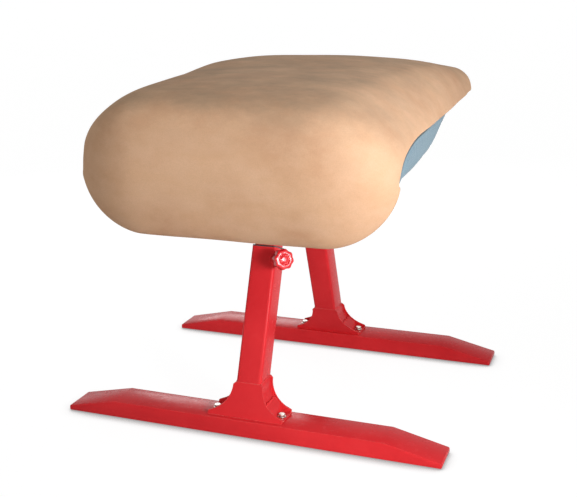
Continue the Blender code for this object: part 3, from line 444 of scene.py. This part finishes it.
def profile(inset, inset_back):
    """Middle line of the top, from under the tail round the nose to its back."""
    front, back, top = FRONT + inset, BACK - inset, TOP_HEIGHT - inset
    tail_top = (back - TAIL_ROUND, top - TAIL_DROP)
    under = (back - TAIL_UNDER, seam_z(back - TAIL_UNDER))
    tail = bezier((under, (back + TAIL_HANDLE, under[1]), (back + TAIL_HANDLE, tail_top[1]), tail_top), ROWS[0])
    bend = (FRONT + NOSE_TOP[0], top - NOSE_TOP[1])
    third = (tail_top[0] - bend[0]) / 3
    upper = bezier((tail_top, (tail_top[0] - third, tail_top[1] + CROWN),
                    (bend[0] + third, bend[1] + NOSE_TOP_SLOPE * third), bend), ROWS[1])
    foremost = (front, TOP_HEIGHT - NOSE_FRONT_DROP)
    reach, fall = bend[0] - front, bend[1] - foremost[1]
    nose_top = bezier((bend, (bend[0] - NOSE_FULL * reach, bend[1] - NOSE_TOP_SLOPE * reach),
                       (front, foremost[1] + NOSE_FULL * fall), foremost), ROWS[2])
    lowest = (FRONT + NOSE_BOTTOM[0] - NOSE_BOTTOM_SHARE * (inset - inset_back),
              TOP_HEIGHT - NOSE_BOTTOM[1] + inset)
    reach, fall = lowest[0] - front, foremost[1] - lowest[1]
    nose_front = bezier((foremost, (front, foremost[1] - CHIN_FULL * fall),
                         (lowest[0] - CHIN_FULL * reach, lowest[1]), lowest), ROWS[3])
    end = (FRONT + NOSE_DEPTH - inset_back, UNDER_Z)
    reach, rise = end[0] - lowest[0], end[1] - lowest[1]
    nose_back = bezier((lowest, (lowest[0] + NOSE_BACK_FULL[0] * reach, lowest[1]),
                        (end[0], lowest[1] + NOSE_BACK_FULL[1] * rise), end), ROWS[4])
    return np.vstack([tail, upper[1:], nose_top[1:], nose_front[1:], nose_back[1:]])


def seam(inset, inset_back):
    """Lower edge of the pad's side, with one point for each point of the profile."""
    tail = BACK - TAIL_CORNER - inset
    turn = tail - TAIL_CORNER_RUN
    middle = np.array((SEAM_CORNER_Y, seam_z(SEAM_CORNER_Y)))
    low = np.array((FRONT + SEAM_LOW[0], TOP_HEIGHT - SEAM_LOW[1]))
    end = np.array((FRONT + NOSE_DEPTH - inset_back, UNDER_Z))
    ys = np.concatenate([np.linspace(tail, turn, ROWS[0] * FINER + 1),
                         np.linspace(turn, middle[0], ROWS[1] * FINER + 1)[1:]])
    down = np.array((FRONT + NOSE_DEPTH, UNDER_Z)) - low
    down = down / np.linalg.norm(down)
    near, far = (share * np.linalg.norm(middle - low) for share in SEAM_FULL)
    bend = bezier((middle, middle - (near, SEAM_SLOPE * near), low - far * down, low), ROWS[2])
    nose_side = np.linspace(low, end, NOSE_SIDE_ROWS * FINER + 1)
    nose_back = np.tile(end, ((ROWS[3] + ROWS[4] - NOSE_SIDE_ROWS) * FINER, 1))
    return np.vstack([np.column_stack([ys, seam_z(ys)]), bend[1:], nose_side[1:], nose_back])


def roll_widths():
    parts = [np.linspace(a, b, rows * FINER + 1)[1:] for a, b, rows in zip(ROLLS, ROLLS[1:], ROWS)]
    return np.concatenate([[ROLLS[0]], *parts])


def top_surface(inset, inset_back):
    """Rows of points across the top. An inset of 0 gives the cover's outside."""
    half = HALF - inset
    middle, edge = profile(inset, inset_back)[:, None], seam(inset, inset_back)[:, None]
    roll = (roll_widths() - inset)[:, None]
    turn = np.linspace(0.0, math.pi / 2, ROLL_STEPS + 1)[1:]
    across = np.sin(turn) ** (2 / ROLL_POWER)
    down = np.maximum(np.cos(turn), 0.0) ** (2 / ROLL_POWER)
    down[-1] = 0.0
    flat = np.linspace(0.0, 1.0, FLAT_STEPS + 1)
    xs = np.hstack([(half - roll) * flat, half - roll + roll * across])
    share = np.concatenate([np.zeros(len(flat)), 1 - down])[None, :, None]
    rows = np.dstack([xs[:, :, None], middle + (edge - middle) * share])
    upper = np.clip((rows[:, :, 2] - seam_z(rows[:, :, 1])) / SIDE_DROP_FADE, 0.0, 1.0)
    rows[:, :, 2] -= SIDE_DROP * (rows[:, :, 0] / HALF) ** 3 * upper
    return np.concatenate([rows[:, :0:-1] * (-1, 1, 1), rows], axis=1)


def pad_mesh(name):
    """Closed skin of the pad, and each point's depth: 0 on its outside, 1 at the wood."""
    outside, inside = top_surface(0.0, 0.0), top_surface(PAD, PAD_BACK)
    bm = bmesh.new()
    depth = bm.verts.layers.float.new("depth")
    last_row, last_column = outside.shape[0] - 1, outside.shape[1] - 1
    grids = []
    for layer, share in enumerate(np.linspace(0.0, 1.0, RIM_STEPS + 1)):
        grid = outside + (inside - outside) * share
        made = np.empty(grid.shape[:2], dtype=object)
        for row, column in np.ndindex(made.shape):
            on_rim = row in (0, last_row) or column in (0, last_column)
            if on_rim or layer in (0, RIM_STEPS):
                corner = bm.verts.new(grid[row, column])
                corner[depth] = layer / RIM_STEPS
                made[row, column] = corner
        grids.append(made)
    for grid in (grids[0], grids[-1]):
        for near, far in zip(grid, grid[1:]):
            band(bm, near, far)
    for outer, inner in zip(grids, grids[1:]):
        for edge in (np.s_[0], np.s_[-1], np.s_[:, 0], np.s_[:, -1]):
            band(bm, outer[edge], inner[edge])
    bmesh.ops.remove_doubles(bm, verts=bm.verts, dist=WELD)
    bmesh.ops.recalc_face_normals(bm, faces=bm.faces)
    return to_mesh(name, bm)


def relaxed(mesh, points, weights, rounds):
    """Points drawn towards the middle of their neighbours, by their weights."""
    edges = np.empty(len(mesh.edges) * 2, dtype=np.int32)
    mesh.edges.foreach_get("vertices", edges)
    a, b = edges.reshape(-1, 2).T
    count = np.bincount(a, minlength=len(points)) + np.bincount(b, minlength=len(points))
    for _ in range(rounds):
        total = np.zeros_like(points)
        np.add.at(total, a, points[b])
        np.add.at(total, b, points[a])
        points = points + weights[:, None] * (total / count[:, None] - points)
    return points


def swell(made, free, pressure, cap, hold=0.0):
    """Blows the free points out like a cover over foam, by at most cap.

    hold is how strongly the foam keeps the free points where they start.
    """
    start = places(made.data)
    group = made.vertex_groups.new(name="held")
    group.add([int(i) for i in np.flatnonzero(~free)], 1.0, "REPLACE")
    if hold:
        group.add([int(i) for i in np.flatnonzero(free)], hold, "REPLACE")
    cloth = made.modifiers.new("cloth", "CLOTH")
    settings = cloth.settings
    settings.quality = 5
    settings.mass = 0.4
    settings.tension_stiffness = 25
    settings.compression_stiffness = 25
    settings.bending_stiffness = 2
    settings.use_pressure = True
    settings.uniform_pressure_force = pressure
    settings.vertex_group_mass = "held"
    settings.effector_weights.gravity = 0.0
    scene = bpy.context.scene
    for step in range(1, CLOTH_STEPS + 1):
        scene.frame_set(step)
    graph = bpy.context.evaluated_depsgraph_get()
    shift = places(made.evaluated_get(graph).data) - start
    made.modifiers.remove(cloth)
    made.vertex_groups.clear()
    scene.frame_set(1)
    length = np.linalg.norm(shift, axis=1)
    shift *= (np.minimum(length, cap) / np.maximum(length, 1e-9))[:, None]
    move_to(made.data, start + shift)


def eased(values, low, high):
    """0 up to low, 1 from high on, and a smooth step between them."""
    share = np.clip((values - low) / (high - low), 0.0, 1.0)
    return share * share * (3 - 2 * share)


def fade(distance, reach):
    """1 at a distance of 0, fading to almost 0 at twice the reach."""
    return np.exp(-(distance / reach) ** 2)


def waves(points, amplitude, rows):
    """Slow unevenness of hand-laid foam: a sum of sines, each with a wavelength, direction and phase."""
    total = np.zeros(len(points))
    for wavelength, direction, phase in rows:
        direction = np.array(direction) / np.linalg.norm(direction)
        total += np.sin(math.tau * (points @ direction) / wavelength + phase)
    return amplitude * total / len(rows)


def rim_distance(points, depth):
    """How far each point is from the ring of the lower rim that lies next to the outside."""
    rim = np.flatnonzero((depth > 0) & (depth < 1.5 / RIM_STEPS))
    tree = KDTree(len(rim))
    for i in rim:
        tree.insert(points[i], int(i))
    tree.balance()
    return np.array([tree.find(p)[2] for p in points])


def padded_top():
    name = "padded_top"
    mesh = pad_mesh(name)
    made = piece(name, mesh, "suede", "table")
    depth, points = attribute(mesh, "depth"), places(mesh)
    free = depth < FREE
    away = rim_distance(points, depth)
    lapped = eased(points[:, 1], *LAP_START) * fade(away, LAP_REACH) * np.clip(1 - 2 * depth, 0.0, 1.0)
    points[:, 2] -= LAP * lapped
    at_tail = eased(points[:, 1], *TAIL_START)
    full = TAIL_BULGE * at_tail * fade(away - BULGE_RISE, BULGE_REACH) * (depth < OUTSIDE)
    points += full[:, None] * directions(mesh) * (1, 1, 0)
    for reach, share, rounds in ((RIM_SOFT, 1.0, RIM_ROUNDS), (TAIL_SOFT, at_tail, TAIL_ROUNDS)):
        soft = np.where(free, share * fade(away, reach), 0.0)
        points = relaxed(mesh, points, 0.5 * soft, rounds)
    move_to(mesh, points)
    facing = directions(mesh)
    crown = CROWN_SHRINK + TAIL_SHRINK * eased(points[:, 1:2], *TAIL_FALL)
    shrink = PAD_SHRINK + crown * np.maximum(facing[:, 2:], 0.0)
    points[free] -= (shrink * facing)[free]
    move_to(mesh, points)
    swell(made, free, PAD_PRESSURE, PAD_CAP, PAD_HOLD)
    points = places(mesh)
    uneven = waves(points, *PAD_WAVES)
    points[free] += (uneven[:, None] * directions(mesh))[free]
    move_to(mesh, points)
    subdivide(made)
    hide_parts("top_pad")


# Padded skirts

SKIRT_INSET = 0.005             # the skirt stands this far inside the pad's side
SKIRT_INNER, SKIRT_OUTER = HALF - PAD, HALF - SKIRT_INSET
SKIRT_ROUND = 0.025             # width of the rounding along its lower edge
SKIRT_ROUND_SHARE = 0.6         # most of its height that the rounding takes
SKIRT_LEDGE = 0.008             # level strip under it, inside the rounding
SKIRT_GAP = 0.0003              # play left between it and the pad
SKIRT_SPAN = (FRONT + 0.1335, 0.103)        # from behind the nose to just before the underside meets the seam
SKIRT_STATIONS = 110
SKIRT_STEPS = {"top": 6, "side": 14, "round": 7, "inside": 4}
SKIRT_SHRINK = 0.002            # the cover starts this much smaller
SKIRT_PRESSURE = 4.0
SKIRT_CAP = 0.005               # most that a point may move in the simulation
SKIRT_WAVES = (0.0009, ((0.19, (0.2, 1, 0.3), 0.7), (0.11, (0.1, 1, -0.8), 2.9)))
SKIRT_SHARP = math.radians(50)
PUCKER = 0.0011                 # height of the puckers along the seam
PUCKER_LENGTH = 0.027           # from one to the next
PUCKER_BEAT = (0.173, 0.8)      # length over which they come and go, and its phase
PUCKER_START, PUCKER_FADE = 0.002, 0.020    # how far under the seam they start, and fade
BELLY_DROP = 0.273              # lowest line of the underside, under the crown
BELLY_RISE_Y = FRONT + 0.213    # where the underside starts to rise
BELLY_END_Y = 0.115             # where it meets the side seam
BELLY_HANDLES = ((0.44, 0.03), (0.20, 0.70))
BELLY_ROWS = 5


def belly_line():
    """Line under the top, from the back of the nose to where it meets the side seam."""
    low = TOP_HEIGHT - BELLY_DROP
    start, end = (BELLY_RISE_Y, low), (BELLY_END_Y, seam_z(BELLY_END_Y))
    run, rise = end[0] - start[0], end[1] - low
    (out, up), (back, down) = BELLY_HANDLES
    arc = bezier((start, (start[0] + out * run, low + up * rise),
                  (end[0] - back * run, end[1] - down * rise), end), BELLY_ROWS)
    return np.vstack([(FRONT + NOSE_DEPTH, low), arc])


def skirt_section(top, low):
    """Ring round a skirt's section: place across, height, and 1 where the point may swell."""
    rise = min(SKIRT_ROUND, SKIRT_ROUND_SHARE * (top - low))
    ring = [(x, top, 0.0) for x in np.linspace(SKIRT_INNER, SKIRT_OUTER, SKIRT_STEPS["top"] + 1)]
    ring += [(SKIRT_OUTER, z, 1.0) for z in np.linspace(top, low + rise, SKIRT_STEPS["side"] + 1)[1:]]
    for turn in np.linspace(math.pi / 2, 0.0, SKIRT_STEPS["round"] + 1)[1:]:
        ring.append((SKIRT_OUTER - SKIRT_ROUND * (1 - math.sin(turn)), low + rise * (1 - math.cos(turn)), 1.0))
    ring += [(x, low, 0.0) for x in (SKIRT_OUTER - SKIRT_ROUND - SKIRT_LEDGE, SKIRT_INNER)]
    ring += [(SKIRT_INNER, z, 0.0) for z in np.linspace(low, top, SKIRT_STEPS["inside"] + 1)[1:-1]]
    return ring


def skirt_mesh(name, side):
    """Closed skin of a skirt, and for each point 1 where it may swell."""
    edge = seam(0.0, 0.0)[:(sum(ROWS[:3]) + NOSE_SIDE_ROWS) * FINER + 1][::-1]
    line = belly_line()
    ys = np.linspace(*SKIRT_SPAN, SKIRT_STATIONS)
    tops = np.interp(ys, edge[:, 0], edge[:, 1]) - SKIRT_GAP
    lows = np.interp(ys, line[:, 0], line[:, 1])
    bm = bmesh.new()
    free = bm.verts.layers.float.new("free")
    rings = []
    for y, top, low in zip(ys, tops, lows):
        ring = []
        for x, z, loose in skirt_section(top, low):
            corner = bm.verts.new((side * x, y, z))
            corner[free] = loose
            ring.append(corner)
        rings.append(ring)
    for ahead, behind in zip(rings, rings[1:]):
        band(bm, ahead, behind, closed=True)
    bm.faces.new(rings[0])
    bm.faces.new(rings[-1][::-1])
    bmesh.ops.recalc_face_normals(bm, faces=bm.faces)
    return to_mesh(name, bm)


def padded_skirt(side):
    name = f"padded_skirt_{side}"
    mesh = skirt_mesh(name, 1 if side == "right" else -1)
    made = piece(name, mesh, "blue_vinyl", "table")
    free = attribute(mesh, "free") > 0.5
    points = places(mesh)
    points[free] -= SKIRT_SHRINK * directions(mesh)[free]
    move_to(mesh, points)
    swell(made, free, SKIRT_PRESSURE, SKIRT_CAP)
    points = places(mesh)
    edge = seam(0.0, 0.0)[::-1]
    under = np.interp(points[:, 1], edge[:, 0], edge[:, 1]) - points[:, 2]
    along = math.tau * points[:, 1]
    pucker = np.sin(along / PUCKER_LENGTH) * np.sin(along / PUCKER_BEAT[0] + PUCKER_BEAT[1])
    shift = PUCKER * pucker * np.exp(-under / PUCKER_FADE) * (under > PUCKER_START)
    shift += waves(points, *SKIRT_WAVES)
    points[free] += (shift[:, None] * directions(mesh))[free]
    move_to(mesh, points)
    mesh.set_sharp_from_angle(angle=SKIRT_SHARP)
    subdivide(made)
    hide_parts(f"side_skirt_{side}")


# Legs: places on the leg at the nose. The other leg is that one turned half round

LEG_TILT = math.radians(21.0)
LEG_SPREAD = 0.111              # between the legs' axes where they meet the head
HEAD_DROP = 0.126               # top face of the head plate, under the crown
RUNNER_TOP = 0.056
TUBE = 0.080
CLAMP_ALONG = 0.468             # clamp axis, along the leg from the runner
CLAMP_TURN = math.radians(45.0)
LEG_FOOT_Y = -(LEG_SPREAD / 2 + math.tan(LEG_TILT) * (TOP_HEIGHT - HEAD_DROP - RUNNER_TOP))
CLAMP = (Matrix.Translation((0.0, LEG_FOOT_Y, RUNNER_TOP)) @ Matrix.Rotation(-LEG_TILT, 4, "X")
         @ Matrix.Translation((0.0, 0.0, CLAMP_ALONG)) @ Matrix.Rotation(-CLAMP_TURN, 4, "Z")
         @ Matrix.Rotation(math.radians(90.0), 4, "Y"))
TURN = {"front": Matrix.Identity(4), "rear": Matrix.Rotation(math.pi, 4, "Z")}

KNOB, KNOB_LOBES, POINTS_PER_LOBE = 0.064, 8, 16
KNOB_START = 0.09484            # its hub's lower end, along the clamp axis from the leg's
KNOB_HUB, KNOB_THICKNESS, LOBE_DEPTH = 0.008, 0.024, 0.0036
LOWER_RIM, UPPER_RIM = (0.14, 0.0045), (0.22, 0.0070)   # roundings of the lobes: share of the radius, height
LOWER_RIM_POINTS, UPPER_RIM_POINTS = 6, 7
UPPER_RIM_DROP = 0.0075         # start of the upper rounding, under the knob's face
# Width and depth of the lobes as shares, and height above the hub's lower end, the lobes' underside and the face
HUB_SECTIONS = ((0.44, 0.0, 0.0), (0.50, 0.0, 0.0015))
UNDERSIDE_SECTIONS = ((0.50, 0.0, -0.001), (0.53, 0.1, 0.0))
FACE_SECTIONS = ((0.62, 0.2, 0.0), (0.50, 0.0, -0.0004), (0.44, 0.0, -0.0016), (0.43, 0.0, -0.0022),
                 (0.41, 0.0, -0.0022), (0.40, 0.0, -0.0012), (0.37, 0.0, -0.0006), (0.20, 0.0, 0.0))
KNOB_SHARP = math.radians(40)

SCREW = 0.012
SCREW_SPAN = (0.04523, KNOB_START + 0.020)
SCREW_TIP = (0.55, 0.0012)      # share of the radius at its tip, and the tip's length
THREAD_PITCH, THREAD_DEPTH = 0.00175, 0.00095
THREAD_FLANK = 1.25             # slope of the thread's sides, which leaves a flat at its root
THREAD_PLAY = 0.0001            # the thread is this much smaller than the screw
THREAD_AROUND, THREAD_STEPS = 28, 6     # points round it, and rings for each turn of the thread
THREAD_SHARP = math.radians(60)


def round_ring(radii, z):
    """Ring of points about the z axis, one for each radius."""
    angles = [math.tau * i / len(radii) for i in range(len(radii))]
    return [(radius * math.cos(angle), radius * math.sin(angle), z) for angle, radius in zip(angles, radii)]


def on_clamp_axis(node, end, rings, sharp):
    """A turned piece of a clamp, in place of the model's node."""
    bm = bmesh.new()
    skin(bm, [[bm.verts.new(point) for point in row] for row in rings])
    bmesh.ops.recalc_face_normals(bm, faces=bm.faces)
    bm.transform(TURN[end] @ CLAMP)
    name = f"{node}_finish"
    made = piece(name, to_mesh(name, bm, sharp), SLOT_OF[node], BODY_OF[node])
    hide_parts(node)


def knob_sections():
    """Width and depth of the lobes as shares, and place along the clamp axis, from the hub to the face."""
    low = KNOB_START + KNOB_HUB
    face = low + KNOB_THICKNESS
    rows = [(width, lobes, KNOB_START + up) for width, lobes, up in HUB_SECTIONS]
    rows += [(width, lobes, low + up) for width, lobes, up in UNDERSIDE_SECTIONS]
    for turn in np.linspace(0.0, math.pi / 2, LOWER_RIM_POINTS):
        rows.append((1.0 - LOWER_RIM[0] * (1 - math.sin(turn)), 1.0, low + LOWER_RIM[1] * (1 - math.cos(turn))))
    for turn in np.linspace(0.0, math.pi / 2, UPPER_RIM_POINTS):
        rows.append((1.0 - UPPER_RIM[0] * (1 - math.cos(turn)), 1.0 - turn / math.pi,
                     face - UPPER_RIM_DROP + UPPER_RIM[1] * math.sin(turn)))
    return rows + [(width, lobes, face + up) for width, lobes, up in FACE_SECTIONS]


def star_knob(end):
    """Lobed knob with rounded rims, and a groove round the plain cap in its face."""
    dips = [1 - math.cos(math.tau * i / POINTS_PER_LOBE) for i in range(KNOB_LOBES * POINTS_PER_LOBE)]
    rings = []
    for width, lobes, z in knob_sections():
        rings.append(round_ring([width * (KNOB / 2 - lobes * LOBE_DEPTH * dip / 2) for dip in dips], z))
    on_clamp_axis(f"{end}_star_knob", end, rings, KNOB_SHARP)


def clamp_screw(end):
    """Threaded clamp screw with a tapered tip."""
    start, stop = SCREW_SPAN
    rings = [round_ring([SCREW_TIP[0] * SCREW / 2] * THREAD_AROUND, start)]
    for z in np.arange(start + SCREW_TIP[1], stop, THREAD_PITCH / THREAD_STEPS):
        phases = [((z - start) / THREAD_PITCH - i / THREAD_AROUND) % 1.0 for i in range(THREAD_AROUND)]
        depths = [THREAD_DEPTH * min(1.0, THREAD_FLANK * abs(2 * phase - 1)) for phase in phases]
        rings.append(round_ring([SCREW / 2 - THREAD_PLAY - depth for depth in depths], z))
    on_clamp_axis(f"{end}_clamp_screw", end, rings, THREAD_SHARP)


# Weld beads on the feet

PLATE = 0.004
FLARE_HEIGHT = 0.100            # where the flared foot meets the tube
FLARE_TOP = 0.008               # reach of the flare's edge there, at its upper end
FLARE_RISE = 0.093              # height of the centre of that elliptical edge
FLARE_AXES = (0.100, 0.085)
FLARE_CENTRE_X = TUBE / 2 + FLARE_TOP + FLARE_AXES[0]
STRIP_FOLD = 0.042              # height of the step between the strips
FOLD_SINK = 0.0045              # that step lies this far inside the flare's edge
TUBE_FACE = TUBE / 2 / math.cos(LEG_TILT)       # level, from the leg's axis
BEAD_STEP, BEAD_SIDES = 0.0009, 12
BEAD_RIPPLE, BEAD_RIPPLE_STEPS = 0.07, 4.3      # height as a share, and steps from one ripple to the next
BEAD_SWELL, BEAD_SWELLS = 0.05, 2.3             # height as a share, and number along the bead
BEAD_END, BEAD_END_SLOPE = 0.5, 4.0     # share of the radius at a bead's ends, and how fast it grows
BEAD_SHARP = math.radians(60)
PLATE_BEAD, STRIP_BEAD, FOLD_BEAD = 0.0014, 0.0022, 0.0043      # radii
PLATE_BEAD_SINK, STRIP_BEAD_SINK, FOLD_BEAD_SINK = 0.0008, 0.0002, 0.0004   # how far they lie in the metal
PLATE_BEAD_REACH = TUBE / 2 - 0.004     # it ends just before the tube's sides
STRIP_BEAD_REACH = (TUBE / 2 - PLATE) / math.cos(LEG_TILT) - 0.0006     # the others, just inside the plates


def foot_point(x, height, across):
    return Vector((x, LEG_FOOT_Y + height * math.tan(LEG_TILT) + across, RUNNER_TOP + height))


def flare_x(height, sink):
    rise = (FLARE_RISE - height) / (FLARE_AXES[1] + sink)
    return FLARE_CENTRE_X - (FLARE_AXES[0] + sink) * math.sqrt(1 - min(rise, 1.0) ** 2)


def bead(bm, start, stop, radius, seed):
    """Run of weld metal with the ripples of its making."""
    along = (stop - start).normalized()
    side = along.orthogonal().normalized()
    up = along.cross(side)
    count = max(8, round((stop - start).length / BEAD_STEP))
    around = [math.cos(a) * side + math.sin(a) * up for a in np.linspace(0.0, math.tau, BEAD_SIDES + 1)[:-1]]
    rings = []
    for k in range(count + 1):
        t = k / count
        centre = start.lerp(stop, t)
        width = 1 + BEAD_RIPPLE * math.sin(math.tau * t * count / BEAD_RIPPLE_STEPS + seed)
        width += BEAD_SWELL * math.sin(math.tau * t * BEAD_SWELLS + 2 * seed)
        width *= min(1.0, BEAD_END + BEAD_END_SLOPE * min(t, 1 - t))
        rings.append([bm.verts.new(centre + radius * width * outward) for outward in around])
    skin(bm, rings)


def level_bead(bm, height, start, stop, radius, seed):
    """Bead at one height on the foot. Its ends are given along the runner and across it."""
    bead(bm, foot_point(start[0], height, start[1]), foot_point(stop[0], height, stop[1]), radius, seed)


def welds(end):
    """Beads where plates and strips meet the tube, and where the strips meet."""
    bm = bmesh.new()
    wide, inside = PLATE_BEAD_REACH, STRIP_BEAD_REACH
    for n, across in enumerate((-TUBE_FACE + PLATE_BEAD_SINK, TUBE_FACE - PLATE_BEAD_SINK)):
        level_bead(bm, FLARE_HEIGHT, (-wide, across), (wide, across), PLATE_BEAD, 1.3 * n)
    for mirror in (-1, 1):
        x = mirror * (TUBE / 2 - STRIP_BEAD_SINK)
        level_bead(bm, FLARE_HEIGHT, (x, -inside), (x, inside), STRIP_BEAD, 2.0 + mirror)
        x = mirror * (flare_x(STRIP_FOLD, FOLD_SINK) - FOLD_BEAD_SINK)
        level_bead(bm, STRIP_FOLD, (x, -inside), (x, inside), FOLD_BEAD, 4.0 + mirror)
    bmesh.ops.recalc_face_normals(bm, faces=bm.faces)
    bm.transform(TURN[end])
    name = f"{end}_welds"
    piece(name, to_mesh(name, bm, BEAD_SHARP), "red_paint", f"{end}_leg")


padded_top()
for side in SIDES:
    padded_skirt(side)

for end in ENDS:
    star_knob(end)
    clamp_screw(end)
    welds(end)

RAW_WOOD = ("body_shell", "rib_right", "rib_left", "head_bearer")
SHAPED = ["top_pad"] + [f"side_skirt_{side}" for side in SIDES]
SHAPED += [f"{end}_{name}" for end in ENDS for name in ("star_knob", "clamp_screw")]
for node, shape in NODES.items():
    if node in RAW_WOOD:
        shape.data.materials.clear()
        shape.data.materials.append(LOOKS[SLOT_OF[node]])
    elif node not in SHAPED:
        bevelled(node)


# Camera, floor and light

FLOOR_REACH, FLOOR_GREY = 60.0, 0.60
FLOOR_WHITE = 0.80              # share of plain white in what is seen of the floor
# The floor's darkening near things is a painted contact shadow.
CONTACT_REACH = 0.045           # how near to things the floor darkens
WORLD_LIGHT = 0.41


def camera():
    forward = Vector((math.sin(YAW) * math.cos(PITCH), math.cos(YAW) * math.cos(PITCH), math.sin(PITCH)))
    level = Vector((math.cos(YAW), -math.sin(YAW), 0.0))
    upright = level.cross(forward)
    right = math.cos(ROLL) * level + math.sin(ROLL) * upright
    up = math.cos(ROLL) * upright - math.sin(ROLL) * level
    turn = Matrix((right, up, -forward)).transposed()
    data = bpy.data.cameras.new("camera")
    data.sensor_fit = "HORIZONTAL"
    data.sensor_width = SENSOR_WIDTH
    data.lens = FOCAL_PIXELS * data.sensor_width / PHOTO_WIDTH
    made = placed("camera", data)
    made.matrix_world = Matrix.Translation(CAMERA_PLACE) @ turn.to_4x4()
    bpy.context.scene.camera = made


def seen_white(tree, surface, share, white):
    """Mixes plain white into what the camera and reflections see of a surface."""
    path = tree.nodes.new("ShaderNodeLightPath")
    either = tree.nodes.new("ShaderNodeMath")
    either.operation = "MAXIMUM"
    tree.links.new(path.outputs["Is Camera Ray"], either.inputs[0])
    tree.links.new(path.outputs["Is Glossy Ray"], either.inputs[1])
    scale = tree.nodes.new("ShaderNodeMath")
    scale.operation = "MULTIPLY"
    scale.inputs[1].default_value = share
    tree.links.new(either.outputs[0], scale.inputs[0])
    mixed = tree.nodes.new("ShaderNodeMixShader")
    tree.links.new(scale.outputs[0], mixed.inputs[0])
    tree.links.new(surface, mixed.inputs[1])
    tree.links.new(white.outputs[0], mixed.inputs[2])
    return mixed.outputs[0]


def floor():
    """Floor that is white in open light, keeps the shadow, and has a painted contact shadow right under the
    runners.
    """
    mesh = bpy.data.meshes.new("floor")
    corners = [(FLOOR_REACH * x, FLOOR_REACH * y, 0) for x, y in ((-1, -1), (1, -1), (1, 1), (-1, 1))]
    mesh.from_pydata(corners, [], [(0, 1, 2, 3)])
    made = placed("floor", mesh)
    look = Finish("floor", 0.8)
    look.done((FLOOR_GREY, FLOOR_GREY, FLOOR_GREY, 1.0))
    # Painted contact shadow: the white that is seen darkens near things.
    nearby = look.add("ShaderNodeAmbientOcclusion", {"samples": 8}, Distance=CONTACT_REACH)
    white_with_painted_contact_shadow = look.span(nearby.outputs["AO"], 0.45, 0.92, 0.45, 1.17)
    white = look.add("ShaderNodeEmission", Strength=white_with_painted_contact_shadow)
    out = look.tree.nodes["Material Output"]
    surface = seen_white(look.tree, look.shader.outputs[0], FLOOR_WHITE, white)
    look.tree.links.new(surface, out.inputs["Surface"])
    made.data.materials.append(look.material)


def world():
    made = bpy.data.worlds.new("studio")
    bpy.context.scene.world = made
    made.use_nodes = True
    tree = made.node_tree
    light = tree.nodes["Background"]
    light.inputs["Color"].default_value = (1.0, 1.0, 1.0, 1.0)
    light.inputs["Strength"].default_value = WORLD_LIGHT
    white = tree.nodes.new("ShaderNodeBackground")
    white.inputs["Color"].default_value = (1.0, 1.0, 1.0, 1.0)
    out = tree.nodes["World Output"]
    tree.links.new(seen_white(tree, light.outputs[0], 1.0, white), out.inputs["Surface"])


def lamp(name, place, target, size, power, spread=180.0, colour=(1.0, 1.0, 1.0)):
    """Rectangular lamp that shines from its place to a target. Power is in watts, spread in degrees."""
    data = bpy.data.lights.new(name, "AREA")
    data.shape = "RECTANGLE"
    data.size, data.size_y = size
    data.energy = power
    data.spread = math.radians(spread)
    data.color = colour
    made = placed(name, data)
    made.location = place
    made.rotation_euler = (Vector(target) - Vector(place)).to_track_quat("-Z", "Y").to_euler()
    made.visible_camera = False


camera()
floor()
world()
lamp("key", (3.7, -2.0, 1.40), (0.15, -0.12, 1.32), (1.1, 0.6), 8.2, 34.0, (0.97, 1.0, 1.07))
lamp("low", (1.75, -1.65, 0.90), (0.30, -0.50, 0.10), (0.35, 0.35), 3.4, 62.0)
lamp("front", (1.0, -3.9, 1.1), (0.0, -0.6, 1.02), (1.2, 0.6), 1.2, 40.0)
lamp("fill", (-3.4, -1.6, 1.2), (0.0, 0.0, 0.9), (1.5, 1.5), 3, 180.0, (1.0, 0.93, 0.87))
lamp("back", (-1.8, 3.4, 1.25), (0.0, 0.0, 0.75), (1.5, 1.5), 22)
bpy.context.scene.view_settings.view_transform = "Standard"
